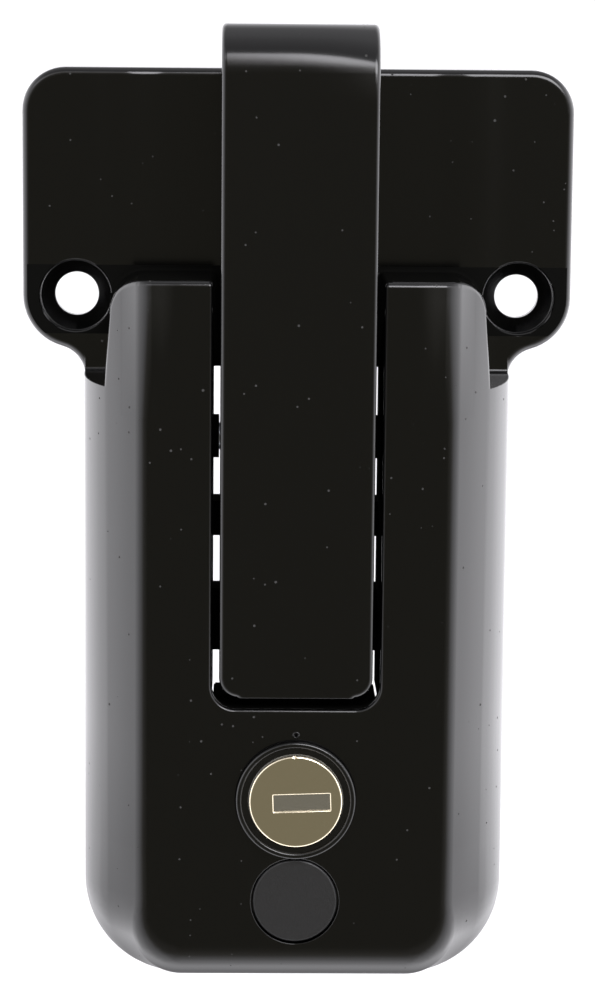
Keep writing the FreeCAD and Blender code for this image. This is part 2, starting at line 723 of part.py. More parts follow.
def make_lever():
    strap = Part.Face(strap_wire()).extrude(V(LEVER_WIDTH, 0, 0))

    # Rounded lower corners, cut through strap, ribs and web alike
    corner_x = HALF_LEVER - LEVER_CORNER_R
    corner_z = LEVER_BOTTOM + LEVER_CORNER_R
    corner = box(corner_x, HALF_LEVER + BITE, 0, HUGE, LEVER_BOTTOM - BITE, corner_z)
    corner = corner.cut(rod(LEVER_CORNER_R, -BITE, HUGE + BITE, corner_x, corner_z))
    corners = both_sides(corner)
    strap = strap.cut(corners)

    # One rounding runs round the whole rim of the strap, over the hook and back along its inside
    def front_line(edge):
        bounds = edge.BoundBox
        return bounds.ZLength > EAR_RISE + EAR_DROP and bounds.YMax < -LEVER_FRONT + SEAT_GAP

    strap = fillet_edges(strap, LEVER_EDGE_R, front_line)

    # Pivot ears, side ribs and tail web stand behind the strap
    behind = LEVER_FRONT - LEVER_T / 2
    heel = FLANGE_T + HEEL_GAP
    ear_back = PIVOT_DEPTH - EAR_EDGE
    ear_low = EAR_EDGE / 3
    ear_corners = [
        (behind, PIVOT_Z + EAR_RISE, EAR_ROOT_R),
        (heel, FLANGE_BOTTOM + HEEL_ABOVE, HEEL_R),
        (heel, FLANGE_BOTTOM - HEEL_BELOW, HEEL_R),
        (ear_back, PIVOT_Z - ear_low, EAR_BACK_R),
        (ear_back + ear_low, PIVOT_Z - EAR_EDGE - BITE, EAR_FOOT_R),
        (behind, PIVOT_Z - EAR_DROP, 0),
    ]
    ear = side_plate(ear_corners, HALF_LEVER - EAR_T, HALF_LEVER)
    side_rib = box(HALF_LEVER - SIDE_RIB_T, HALF_LEVER, LEVER_RIB_BACK, behind, LEVER_BOTTOM, PIVOT_Z)
    web = box(-HALF_LEVER, HALF_LEVER, TAIL_WEB_BACK, behind, LEVER_BOTTOM, LEVER_BOTTOM + TAIL_WEB_T)
    behind_strap = web.fuse(both_sides(ear) + both_sides(side_rib)).cut(corners)
    bore = cross_rod(PIN_R + RUNNING_GAP, -HALF_SLOT, HALF_SLOT, PIVOT_DEPTH, PIVOT_Z)
    return strap.fuse(behind_strap).cut(bore).removeSplitter()


# Pivot


def make_pin():
    """The pivot pin, with a groove for a clip outside each cheek."""
    groove_x = CHEEK_OUT + PIN_CLIP_GAP
    groove_end = groove_x + PIN_CLIP_T + 2 * PIN_CLIP_GAP
    end = groove_end + PIN_END
    pin = cross_rod(PIN_R, -end, end, PIVOT_DEPTH, PIVOT_Z)
    groove = cross_rod(PIN_R + BITE, groove_x, groove_end, PIVOT_DEPTH, PIVOT_Z)
    groove = groove.cut(cross_rod(PIN_R - GROOVE_DEPTH, 0, end, PIVOT_DEPTH, PIVOT_Z))
    return pin.cut(both_sides(groove))


def make_pin_clips():
    """Two open clips that snap into the pin's grooves."""
    start = CHEEK_OUT + 2 * PIN_CLIP_GAP
    end = start + PIN_CLIP_T
    root_r = PIN_R - GROOVE_DEPTH
    clip = cross_rod(PIN_CLIP_R, start, end, PIVOT_DEPTH, PIVOT_Z)
    clip = clip.cut(cross_rod(root_r + PIN_CLIP_GAP, start - BITE, end + BITE, PIVOT_DEPTH, PIVOT_Z))
    mouth = box(start - BITE, end + BITE, -HUGE, PIVOT_DEPTH, PIVOT_Z - root_r, PIVOT_Z + root_r)
    return Part.makeCompound(both_sides(clip.cut(mouth)))


def spring_half():
    """The path of the spring's right half: leg, coil, run down to the lever and half of the loop there.

    The runs leave the coil along its tangents, so that the wire bends smoothly all the way.
    """
    start_x = HALF_LEVER - EAR_T - SPRING_SIDE_GAP - SPRING_WIRE_R
    loop_z = PIVOT_Z - SPRING_LOOP_DROP
    strap_back = LEVER_FRONT + (loop_z - LEVER_BOTTOM) * math.tan(math.radians(LEVER_LEAN)) - LEVER_T
    ahead = strap_back - SPRING_WIRE_R - SPRING_REST_GAP - PIVOT_DEPTH
    below = loop_z - PIVOT_Z
    distance = math.hypot(ahead, below)
    leaving_angle = math.atan2(below, ahead) + math.acos(SPRING_COIL_R / distance)
    turns = SPRING_TURNS + (math.pi - leaving_angle) / (2 * math.pi)

    # The helix winds about an axis across the latch, from the back of the coil up over its top
    helix = Part.makeHelix(SPRING_PITCH, turns * SPRING_PITCH, SPRING_COIL_R, 0, True)
    to_pivot = FreeCAD.Matrix(0, 0, -1, start_x, 1, 0, 0, -PIVOT_DEPTH, 0, -1, 0, PIVOT_Z, 0, 0, 0, 1)
    helix.Placement = FreeCAD.Placement(to_pivot)
    coil = helix.Edges[0]
    enter = coil.valueAt(coil.FirstParameter)
    rising = coil.tangentAt(coil.FirstParameter)
    leave = coil.valueAt(coil.LastParameter)
    falling = coil.tangentAt(coil.LastParameter)
    leg_z = UPPER_RIB_TOP - UPPER_RIB_H / 2
    leg_end = enter - rising * ((PIVOT_Z - leg_z) / rising.z)

    run = math.sqrt(distance**2 - SPRING_COIL_R**2)
    corner = leave + falling * (run / math.hypot(falling.y, falling.z))
    across = V(-1, 0, 0)
    half = (-falling).getAngle(across) / 2
    reach = SPRING_BEND_R / math.tan(half)
    inward = across - falling
    inward.normalize()
    centre = corner + inward * (SPRING_BEND_R / math.sin(half))
    bend_start = corner - falling * reach
    bend_end = corner + across * reach
    edges = [
        Part.LineSegment(leg_end, enter).toShape(),
        coil,
        Part.LineSegment(leave, bend_start).toShape(),
        Part.Arc(bend_start, centre - inward * SPRING_BEND_R, bend_end).toShape(),
        Part.LineSegment(bend_end, V(0, bend_end.y, bend_end.z)).toShape(),
    ]
    return Part.Wire(edges), leg_end, rising


def make_lever_spring():
    """A double torsion spring: two coils on the pin, a loop on the lever and two legs on the upper rib."""
    path, start, direction = spring_half()
    section = Part.Wire([Part.Circle(start, direction, SPRING_WIRE_R).toShape()])
    half = path.makePipeShell([section], True, False)
    print("spring wire", round(2 * path.Length, 1), "long")
    return half.fuse(both_sides(half)[1]).removeSplitter()


# Key cylinder


def lock_box(x0, x1, d0, d1, z0, z1):
    """A block placed from the axis of the key cylinder."""
    return box(LOCK_X + x0, LOCK_X + x1, d0, d1, LOCK_Z + z0, LOCK_Z + z1)


def lock_rod(radius, d0, d1):
    """A round bar on the axis of the key cylinder."""
    return rod(radius, d0, d1, LOCK_X, LOCK_Z)


def make_gasket():
    """The flat ring that seals the bezel in its seat."""
    seat = BODY_DEPTH - GASKET_T
    return ring(BEZEL_R, BARREL_R + BORE_GAP, seat, BODY_DEPTH, LOCK_X, LOCK_Z)


def make_bezel():
    """The black ring: a rim with rounded edges, and inside it a ledge over the barrel's flange."""
    front = BODY_DEPTH + BEZEL_HEIGHT
    flange_front = BODY_DEPTH + BARREL_FLANGE_T
    ledge = flange_front + BEZEL_LEDGE_T
    bore_r = BARREL_FLANGE_R + SEAT_GAP
    rim_r = BEZEL_R - BEZEL_RIM
    inner_r = CAP_R + CAP_GAP
    corners = [
        (bore_r, BODY_DEPTH, 0),
        (BEZEL_R, BODY_DEPTH, 0),
        (BEZEL_R, front, BEZEL_EDGE_R),
        (rim_r, front, BEZEL_EDGE_R),
        (rim_r, ledge, 0),
        (inner_r, ledge, 0),
        (inner_r, flange_front, 0),
        (bore_r, flange_front, 0),
    ]
    return turned(corners, LOCK_X, LOCK_Z)


def make_barrel():
    """The fixed shell, with a flange in front and two flats that the clip grips."""
    front = BODY_DEPTH + BARREL_FLANGE_T
    barrel = lock_rod(BARREL_R, BARREL_BACK, front).fuse(lock_rod(BARREL_FLANGE_R, BODY_DEPTH, front))
    cuts = [
        lock_rod(CORE_R + RUNNING_GAP, BARREL_BACK - BITE, front + BITE),
        lock_rod(CORE_HEAD_R + RUNNING_GAP, HEAD_BACK - STACK_GAP, front + BITE),
    ]
    clip_back = FRONT_INSIDE - CLIP_T
    for x0, x1 in ((-BARREL_FLANGE_R, -CLIP_GRIP), (CLIP_GRIP, BARREL_FLANGE_R)):
        cuts.append(lock_box(x0, x1, clip_back, FRONT_INSIDE, -BARREL_R, BARREL_R))
    return barrel.cut(cuts).removeSplitter()


def make_core():
    """The turning core: a head for the cap, a key way across it, slots for the wafers and a square tang."""
    core = lock_rod(CORE_R, CORE_BACK, HEAD_FRONT).fuse(lock_rod(CORE_HEAD_R, HEAD_BACK, HEAD_FRONT))
    tang = lock_box(-TANG_HALF, TANG_HALF, CAM_BACK + STACK_GAP, BARREL_BACK, -TANG_HALF, TANG_HALF)
    core = core.fuse(tang)

    # Room for the dust door to swing in, and a groove for its pin, open to the front under the cap
    wide = SHUTTER_W / 2 + SHUTTER_LAP + SHUTTER_ROOM
    door_foot = SHUTTER_Z - SHUTTER_H / 2 - SHUTTER_LAP
    swing_reach = (HINGE_Z - door_foot) * math.sin(math.radians(SHUTTER_SWING))
    room_back = HINGE_DEPTH - swing_reach - SHUTTER_ROOM
    room_top = HINGE_Z + SHUTTER_KNUCKLE_R + SHUTTER_ROOM
    cuts = [
        box(SHUTTER_X - wide, SHUTTER_X + wide, room_back, HUGE, door_foot - SHUTTER_ROOM, room_top),
        box(
            SHUTTER_X - wide - BITE / 2,
            SHUTTER_X + wide + BITE / 2,
            HINGE_DEPTH - SHUTTER_PIN_R,
            HUGE,
            HINGE_Z - SHUTTER_PIN_R,
            HINGE_Z + SHUTTER_PIN_R,
        ),
    ]

    # Key way, and at each wafer a slot, a path for its lug and a bore for its spring
    half_w = KEYWAY_W / 2
    half_h = KEYWAY_H / 2
    cuts.append(lock_box(-half_w, half_w, WAFER_LAST - WAFER_T / 2, HUGE, -half_h, half_h))
    room = WAFER_T / 2 + WAFER_GAP
    side = CORE_R + BITE
    slot_half = WAFER_H / 2 + WAFER_GAP
    path_top = slot_half + WAFER_LUG_H + WAFER_GAP
    path_x = WAFER_LUG_X - WAFER_LUG_W / 2 - WAFER_GAP
    spring_z = LOCK_Z + (WAFER_H + WAFER_LUG_H) / 2
    for depth in WAFER_DEPTHS:
        cuts.append(lock_box(-side, side, depth - room, depth + room, -slot_half, slot_half))
        cuts.append(lock_box(path_x, WAFER_SPRING_END, depth - room, depth + room, 0, path_top))
        bore_r = WAFER_SPRING_R + WAFER_GAP
        cuts.append(cross_rod(bore_r, LOCK_X + WAFER_LUG_X, LOCK_X + WAFER_SPRING_END, depth, spring_z))
    cuts.append(lock_rod(CAM_SCREW_SHANK_R, CAM_BACK, SCREW_TIP + STACK_GAP))
    return turn_core(core.cut(cuts))


def make_wafers():
    """Flat brass wafers, each with a window for the key and a lug that its spring pushes."""
    reach = CORE_R - WAFER_GAP
    half = WAFER_T / 2
    half_h = WAFER_H / 2
    lug_x0 = WAFER_LUG_X - WAFER_LUG_W / 2
    lug_x1 = WAFER_LUG_X + WAFER_LUG_W / 2
    wafers = []
    for depth in WAFER_DEPTHS:
        wafer = lock_box(-reach, reach, depth - half, depth + half, -half_h, half_h)
        lug = lock_box(lug_x0, lug_x1, depth - half, depth + half, 0, half_h + WAFER_LUG_H)
        wafer = wafer.fuse(lug).common(lock_rod(reach, depth - WAFER_T, depth + WAFER_T))
        window = lock_box(-KEYWAY_W / 2, KEYWAY_W / 2, 0, HUGE, -KEYWAY_H / 2, KEYWAY_H / 2)
        wafers.append(turn_core(wafer.cut(window)))
    return Part.makeCompound(wafers)


def make_wafer_springs():
    """The small springs beside the wafers' lugs, as plain round bars of the coils' outer size."""
    start = LOCK_X + WAFER_LUG_X + WAFER_LUG_W / 2
    spring_z = LOCK_Z + (WAFER_H + WAFER_LUG_H) / 2
    springs = []
    for depth in WAFER_DEPTHS:
        spring = cross_rod(WAFER_SPRING_R, start, LOCK_X + WAFER_SPRING_END, depth, spring_z)
        springs.append(turn_core(spring))
    return Part.makeCompound(springs)


def make_cap():
    """The chrome cap, a thin cup pressed over the core's head, with the key slot and a nick in its rim."""
    skirt_back = CAP_FRONT - CAP_SKIRT
    corners = [
        (0, HEAD_FRONT, 0),
        (CORE_HEAD_R, HEAD_FRONT, 0),
        (CORE_HEAD_R, skirt_back, 0),
        (CAP_R, skirt_back, 0),
        (CAP_R, CAP_FRONT, CAP_EDGE_R),
        (0, CAP_FRONT, 0),
    ]
    cap = turned(corners, LOCK_X, LOCK_Z)
    half_w = SHUTTER_W / 2
    half_h = SHUTTER_H / 2
    window = box(SHUTTER_X - half_w, SHUTTER_X + half_w, 0, HUGE, SHUTTER_Z - half_h, SHUTTER_Z + half_h)
    cap = cap.cut(window)

    def window_rim(edge):
        bounds = edge.BoundBox
        level = abs(bounds.YMax + CAP_FRONT) < NEAR and abs(bounds.YMin + CAP_FRONT) < NEAR
        return level and bounds.XLength < SHUTTER_W + NEAR

    nick = rod(CAP_NICK_R, HEAD_FRONT, HUGE, LOCK_X, LOCK_Z + CAP_R)
    return turn_core(fillet_edges(cap, CAP_SLOT_R, window_rim).cut(nick))


def make_shutter():
    """The dust door behind the key slot: a thin plate hung on a knuckle along its upper edge."""
    half_w = SHUTTER_W / 2 + SHUTTER_LAP
    foot = SHUTTER_Z - SHUTTER_H / 2 - SHUTTER_LAP
    front = HINGE_DEPTH + SHUTTER_KNUCKLE_R
    plate = box(SHUTTER_X - half_w, SHUTTER_X + half_w, front - SHUTTER_T, front, foot, HINGE_Z)
    knuckle = cross_rod(SHUTTER_KNUCKLE_R, SHUTTER_X - half_w, SHUTTER_X + half_w, HINGE_DEPTH, HINGE_Z)
    bore = cross_rod(SHUTTER_PIN_R + RUNNING_GAP, -HUGE, HUGE, HINGE_DEPTH, HINGE_Z)
    return turn_core(plate.fuse(knuckle).cut(bore))


def make_shutter_pin():
    """The pin of the dust door, laid in a groove across the core's head."""
    end = SHUTTER_W / 2 + SHUTTER_LAP + SHUTTER_ROOM + BITE / 2
    return turn_core(cross_rod(SHUTTER_PIN_R, SHUTTER_X - end, SHUTTER_X + end, HINGE_DEPTH, HINGE_Z))


def make_lock_clip():
    """A U shaped spring clip in the barrel's flats, flat against the inside of the front wall."""
    x0 = LOCK_X - CLIP_OUTER
    x1 = LOCK_X + CLIP_OUTER
    corners = [
        (x0, LOCK_Z - CLIP_LEG, CLIP_LEG_R),
        (x1, LOCK_Z - CLIP_LEG, CLIP_LEG_R),
        (x1, LOCK_Z + CLIP_OUTER, CLIP_TOP_R),
        (x0, LOCK_Z + CLIP_OUTER, CLIP_TOP_R),
    ]
    clip = front_plate(corners, FRONT_INSIDE - CLIP_T + SEAT_GAP, FRONT_INSIDE - SEAT_GAP)
    grip = CLIP_GRIP + SEAT_GAP
    mouth = lock_box(-grip, grip, 0, HUGE, -HUGE, 0)
    arch = lock_rod(BARREL_R + BORE_GAP, 0, HUGE).common(lock_box(-grip, grip, 0, HUGE, -BITE, HUGE))
    return clip.cut(mouth.fuse(arch))


def tang_hole():
    """The square hole that a washer or cam has for the core's tang."""
    half = TANG_HALF + WAFER_GAP
    return lock_box(-half, half, 0, HUGE, -half, half)


def make_stop_washer():
    """The washer behind the barrel, with a quarter of its rim cut back to limit the key's turn."""
    washer = lock_rod(STOP_WASHER_R, CAM_FRONT, CORE_BACK)
    quarter = lock_box(-HUGE, 0, 0, HUGE, -HUGE, 0).cut(lock_rod(CORE_R, -BITE, HUGE + BITE))
    return turn_core(washer.cut([tang_hole(), quarter]))


def make_cam():
    """The cam: a round hub and a narrower finger that turns up behind the lever's tail."""
    shoulder = CAM_HUB_R - BITE
    neck = shoulder - BITE
    tip_x = LOCK_X - CAM_LENGTH
    corners = [
        (LOCK_X, LOCK_Z - shoulder, 0),
        (LOCK_X, LOCK_Z + shoulder, 0),
        (LOCK_X - CAM_HUB_R, LOCK_Z + neck, CAM_NECK_R),
        (tip_x, LOCK_Z + CAM_TIP_HALF, CAM_TIP_R),
        (tip_x, LOCK_Z - CAM_TIP_HALF, CAM_TIP_R),
        (LOCK_X - CAM_HUB_R, LOCK_Z - neck, CAM_NECK_R),
    ]
    finger = front_plate(corners, CAM_BACK, CAM_FRONT)
    return turn_core(lock_rod(CAM_HUB_R, CAM_BACK, CAM_FRONT).fuse(finger).cut(tang_hole()).removeSplitter())


def make_cam_washer():
    """The spring washer between the screw's head and the cam."""
    return turn_core(ring(CAM_WASHER_R, CAM_SCREW_SHANK_R + BORE_GAP, SCREW_SEAT, CAM_BACK, LOCK_X, LOCK_Z))


def make_cam_screw():
    """A pan head screw with a cross recess, from behind into the core."""
    back = SCREW_SEAT - CAM_SCREW_HEAD
    corners = [
        (0, back, 0),
        (CAM_SCREW_R, back, CAM_SCREW_HEAD * RECESS_SHARE),
        (CAM_SCREW_R, SCREW_SEAT, 0),
        (CAM_SCREW_SHANK_R, SCREW_SEAT, 0),
        (CAM_SCREW_SHANK_R, SCREW_TIP, CAM_SCREW_TIP_GAP),
        (0, SCREW_TIP, 0),
    ]
    screw = turned(corners, LOCK_X, LOCK_Z)
    arm = CAM_SCREW_R * RECESS_SHARE
    half = RECESS_WIDTH / 2
    floor = back + CAM_SCREW_HEAD * RECESS_SHARE
    cross = [lock_box(-arm, arm, 0, floor, -half, half), lock_box(-half, half, 0, floor, -arm, arm)]
    return turn_core(screw.cut(cross))


# Plug


def make_plug():
    """The plastic plug: a round head with a hollow stem split into four legs."""
    front = BODY_DEPTH - PLUG_INSET
    seat = front - PLUG_HEAD_T
    stem_end = seat - PLUG_STEM_LENGTH
    inner = PLUG_STEM_R - PLUG_STEM_WALL
    corners = [
        (0, seat, 0),
        (inner, seat, 0),
        (inner, stem_end, 0),
        (PLUG_STEM_R, stem_end, PLUG_EDGE_R),
        (PLUG_STEM_R, seat, 0),
        (PLUG_R, seat, 0),
        (PLUG_R, front, PLUG_EDGE_R),
        (0, front, 0),
    ]
    plug = turned(corners, LOCK_X, PLUG_Z)
    half = PLUG_SLIT / 2
    reach = PLUG_STEM_R + BITE
    floor = seat - PLUG_SLIT_FLOOR
    slits = [
        box(LOCK_X - reach, LOCK_X + reach, 0, floor, PLUG_Z - half, PLUG_Z + half),
        box(LOCK_X - half, LOCK_X + half, 0, floor, PLUG_Z - reach, PLUG_Z + reach),
    ]
    return plug.cut(slits)


save("housing", make_housing())
save("hook_lever", make_lever())
save("pivot_pin", make_pin())
save("pin_clips", make_pin_clips())
save("lever_spring", make_lever_spring())
save("lock_gasket", make_gasket())
save("lock_bezel", make_bezel())
save("lock_barrel", make_barrel())
save("lock_core", make_core())
save("tumbler_wafers", make_wafers())
save("wafer_springs", make_wafer_springs())
save("face_cap", make_cap())
save("key_shutter", make_shutter())
save("shutter_pin", make_shutter_pin())
save("lock_clip", make_lock_clip())
save("stop_washer", make_stop_washer())
save("lock_cam", make_cam())
save("cam_washer", make_cam_washer())
save("cam_screw", make_cam_screw())
save("hole_plug", make_plug())
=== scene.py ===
# %% [markdown]
# # A cam bar door latch, dressed for the camera
#
# The latch holds the flat handle of a cam bar on a trailer door. Its housing and its hooked lever are zinc
# die castings under a gloss black powder coat, and a small key cylinder with a chrome face stops the lever.
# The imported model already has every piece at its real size, so this lesson keeps those pieces where they are.
# It gives each one a finish, adds the small things that a solid model leaves plain, and builds a studio.
#
# Blender works in metres, but a maker thinks of a latch in millimetres. `MM` turns a length into metres, so
# that a size can be written as it would be measured.

# %% Load the frame
import math

import bmesh
import bpy
from mathutils import Matrix, Quaternion, Vector


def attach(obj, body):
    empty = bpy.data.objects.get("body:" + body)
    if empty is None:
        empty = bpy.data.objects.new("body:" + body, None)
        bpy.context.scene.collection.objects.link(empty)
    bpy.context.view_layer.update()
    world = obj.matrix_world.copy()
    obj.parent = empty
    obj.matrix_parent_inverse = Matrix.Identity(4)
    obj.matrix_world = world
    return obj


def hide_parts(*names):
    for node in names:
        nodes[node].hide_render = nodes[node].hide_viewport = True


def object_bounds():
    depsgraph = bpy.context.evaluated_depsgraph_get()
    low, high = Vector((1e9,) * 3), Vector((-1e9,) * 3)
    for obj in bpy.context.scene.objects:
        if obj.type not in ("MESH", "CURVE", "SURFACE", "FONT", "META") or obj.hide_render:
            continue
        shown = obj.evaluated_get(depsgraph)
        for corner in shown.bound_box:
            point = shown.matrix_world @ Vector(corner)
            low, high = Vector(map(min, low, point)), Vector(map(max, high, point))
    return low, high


MM = 0.001

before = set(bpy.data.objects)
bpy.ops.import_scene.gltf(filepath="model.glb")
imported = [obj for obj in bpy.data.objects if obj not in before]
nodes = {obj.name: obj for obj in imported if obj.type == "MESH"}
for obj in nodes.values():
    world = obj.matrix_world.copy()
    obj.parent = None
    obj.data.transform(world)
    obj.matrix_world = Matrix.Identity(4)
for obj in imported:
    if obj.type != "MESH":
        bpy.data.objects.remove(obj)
cad_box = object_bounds()
print("nodes", len(nodes), "size in mm", [round((b - a) / MM, 1) for a, b in zip(*cad_box)])

# %% [markdown]
# ## The camera
#
# The picture was taken a little from above, from about 0.6 m away, and the camera was turned by half a
# degree. The view is worked out by the shape of the latch in the picture: the flange gives the scale, and
# the front of the lever, which stands about 30 mm nearer than the door, shows how far away the camera was.
# The focal length is kept as a number of picture heights, because the framing depends on that.

# %% Camera
PICTURE_HEIGHT_PX = 1000
FOCAL_PX = 3243
SENSOR_MM = 36.0
AIM = Vector((0.5, 0.0, -39.2)) * MM
CAMERA_DISTANCE = 614.2 * MM
LOOK_DOWN = math.radians(9.2)
LOOK_ASIDE = math.radians(0.97)
CAMERA_ROLL = math.radians(0.49)

forward = Vector((
    math.sin(LOOK_ASIDE) * math.cos(LOOK_DOWN),
    math.cos(LOOK_ASIDE) * math.cos(LOOK_DOWN),
    -math.sin(LOOK_DOWN),
))
camera_data = bpy.data.cameras.new("camera")
camera_data.sensor_width = SENSOR_MM
camera_data.lens = SENSOR_MM * FOCAL_PX / PICTURE_HEIGHT_PX
camera = bpy.data.objects.new("camera", camera_data)
bpy.context.scene.collection.objects.link(camera)
camera.location = AIM - forward * CAMERA_DISTANCE
camera.rotation_mode = "QUATERNION"
camera.rotation_quaternion = forward.to_track_quat("-Z", "Y") @ Quaternion((0, 0, 1), CAMERA_ROLL)
bpy.context.scene.camera = camera
bpy.context.scene.view_settings.view_transform = "Standard"
print("camera at", [round(v / MM) for v in camera.location], "mm, lens", round(camera_data.lens, 1))

# %% [markdown]
# ## The studio
#
# Gloss black has almost no colour of its own: what the eye reads as its shape is the room that it mirrors.
# In the picture the flat front is nearly black, and the leaning side walls and the foot are pale grey. So
# the room is a tent of white cloth that is open towards the camera, and the world is that tent.
#
# Colours are easiest to choose as the hex values that a screen shows. Blender's sockets want linear light,
# so one function takes the screen's curve off, and every colour of the scene goes through it.

# %% Colours


def linear(hex_colour):
    """A six digit sRGB hex colour as linear red, green, blue and full alpha."""
    channels = [int(hex_colour[i:i + 2], 16) / 255 for i in (1, 3, 5)]
    curve = [c / 12.92 if c <= 0.04045 else ((c + 0.055) / 1.055) ** 2.4 for c in channels]
    return (*curve, 1.0)


print("mid grey in linear light", round(linear("#808080")[0], 3))

# %% [markdown]
# A look is a tree of nodes with settings and wires, and one helper adds any node to it. Plain settings are
# keyword arguments. `into` holds the inputs, in their order or by name: each is a value, a socket of another
# node, or another node, which stands for its first output. `fill` does only the inputs, for a node that a
# new tree has from the start.

# %% Node helper


def fill(tree, node, into):
    """Gives a node's inputs their values and wires."""
    for socket, value in into.items() if isinstance(into, dict) else enumerate(into):
        if isinstance(value, bpy.types.Node):
            value = value.outputs[0]
        if isinstance(value, bpy.types.NodeSocket):
            tree.links.new(value, node.inputs[socket])
        else:
            node.inputs[socket].default_value = value


def add(tree, kind, into=(), **settings):
    """Adds one node with its settings and its inputs."""
    made = tree.nodes.new(kind)
    for name, value in settings.items():
        setattr(made, name, value)
    fill(tree, made, into)
    return made


world = bpy.data.worlds.new("white_tent")
bpy.context.scene.world = world
world.use_nodes = True
sky = world.node_tree
way = add(sky, "ShaderNodeTexCoord").outputs["Generated"]
print("nodes of a new world", [node.name for node in sky.nodes])

# %% [markdown]
# The cloth hangs round the latch, so its brightness depends first on the angle from the opening. A colour
# ramp holds it: dim and warm in the opening, where the room behind the camera shows, brightest just behind
# the latch's sides, and dimmer again at the back. A ramp ends at one, so its stops are shares of the tent's
# greatest brightness.

# %% The tent by the angle from its opening
OPENING = Vector((0.0, -1.0, -0.17)).normalized()
TENT_BRIGHTNESS = 4.0
TENT = (
    # degrees from the opening, colour, brightness
    (0, "#f4eed6", 0.205),
    (14, "#f4eed6", 0.205),
    (33, "#f4efe4", 0.50),
    (50, "#e6e5e8", 1.6),
    (68, "#f0eff3", 2.5),
    (90, "#f4f3f7", 3.4),
    (106, "#f4f3f7", 4.0),
    (126, "#f4f3f7", 3.3),
    (146, "#f4f3f7", 2.0),
    (163, "#f4f3f7", 1.5),
    (180, "#f4f3f7", 1.3),
)

facing = add(sky, "ShaderNodeVectorMath", (way, OPENING), operation="DOT_PRODUCT").outputs["Value"]
angle = add(sky, "ShaderNodeMath", (facing,), operation="ARCCOSINE")
share = add(sky, "ShaderNodeMapRange", (angle, 0.0, math.pi, 0.0, 1.0))
tent = add(sky, "ShaderNodeValToRGB", (share,))
stops = tent.color_ramp.elements
for number, (degrees, colour, brightness) in enumerate(TENT):
    stop = stops[number] if number < len(stops) else stops.new(degrees / 180)
    stop.position = degrees / 180
    tint = linear(colour)
    peak = max(tint[:3])
    stop.color = [c / peak * brightness / TENT_BRIGHTNESS for c in tint[:3]] + [1.0]
print("tent stops", len(stops))

# %% [markdown]
# Real cloth is never lit evenly. This tent is dimmer overhead, brighter on the table below, dark where the
# table ends behind the latch, and a little brighter on the right. A pale strip of cloth hangs across the
# opening, about 30 degrees up. Each of these is a factor on the brightness, and a Map Range node turns a part
# of the direction, from one value to another, into a factor from one to another.

# %% The tent's uneven light
LEFT_TO_RIGHT = (-1.0, 1.0, 0.92, 1.12)
OVERHEAD = (0.25, 0.8, 1.0, 0.24)
TABLE = (-0.95, -0.75, 1.35, 1.0)
TABLE_END = (0.0, 0.6, -0.8)
BEYOND_TABLE = (0.72, 0.97, 1.0, 0.2)
STRIP_HEIGHT = (0.52, 0.11)
STRIP_IN_FRONT = (-0.6, -0.4, 1.0, 0.0)
STRIP_GAIN = 1.2

right, back, up = add(sky, "ShaderNodeSeparateXYZ", (way,)).outputs
at_end = add(sky, "ShaderNodeVectorMath", (way, TABLE_END), operation="DOT_PRODUCT").outputs["Value"]
strip = add(sky, "ShaderNodeMath", (up, *STRIP_HEIGHT), operation="COMPARE")
in_front = add(sky, "ShaderNodeMapRange", (back, *STRIP_IN_FRONT))
strip = add(sky, "ShaderNodeMath", (strip, in_front), operation="MULTIPLY")
shade = add(sky, "ShaderNodeMath", (strip, STRIP_GAIN, 1.0), operation="MULTIPLY_ADD")
for part, change in ((right, LEFT_TO_RIGHT), (up, OVERHEAD), (up, TABLE), (at_end, BEYOND_TABLE)):
    factor = add(sky, "ShaderNodeMapRange", (part, *change))
    shade = add(sky, "ShaderNodeMath", (shade, factor), operation="MULTIPLY")
print("nodes of the tent", len(sky.nodes))

# %% [markdown]
# The latch is lit by the tent, but a picture of a part for sale has a plain white ground. So the camera sees
# plain white where its rays meet nothing, and every other ray sees the tent.

# %% The world that lights and the world that shows
SEEN_WHITE = 1.1

strength = add(sky, "ShaderNodeMath", (shade, TENT_BRIGHTNESS), operation="MULTIPLY")
lit = add(sky, "ShaderNodeBackground", (tent, strength))
plain = add(sky, "ShaderNodeBackground", (linear("#ffffff"), SEEN_WHITE))
from_camera = add(sky, "ShaderNodeLightPath").outputs["Is Camera Ray"]
both = add(sky, "ShaderNodeMixShader", (from_camera, lit, plain))
fill(sky, sky.nodes["World Output"], (both,))
print("nodes of the world", len(sky.nodes))

# %% [markdown]
# One soft box hangs in front and above, right of the camera. It draws the pale band along the rolled top of
# the hook and the fine bright lines along the upper edges of the flange and the housing. A lamp's power
# spreads over its area and over half a turn of directions, so it is worked out from how bright it should look.

# %% Soft box
BOX_DISTANCE = 0.9
BOX_UP = math.radians(31)
BOX_RIGHT = math.radians(20.4)
BOX_WIDTH, BOX_HEIGHT = 0.55, 0.46
BOX_RADIANCE = 8.0
BOX_COLOUR = "#fbfaff"

towards_box = Vector((
    math.sin(BOX_RIGHT) * math.cos(BOX_UP),
    -math.cos(BOX_RIGHT) * math.cos(BOX_UP),
    math.sin(BOX_UP),
))
soft_box = bpy.data.lights.new("soft_box", "AREA")
soft_box.shape = "RECTANGLE"
soft_box.size = BOX_WIDTH
soft_box.size_y = BOX_HEIGHT
soft_box.energy = BOX_RADIANCE * math.pi * BOX_WIDTH * BOX_HEIGHT
soft_box.color = linear(BOX_COLOUR)[:3]
lamp = bpy.data.objects.new("soft_box", soft_box)
bpy.context.scene.collection.objects.link(lamp)
lamp.location = towards_box * BOX_DISTANCE
lamp.rotation_mode = "QUATERNION"
lamp.rotation_quaternion = (-towards_box).to_track_quat("-Z", "Y")
lamp.visible_camera = False
print("soft box of", round(soft_box.energy, 1), "W")

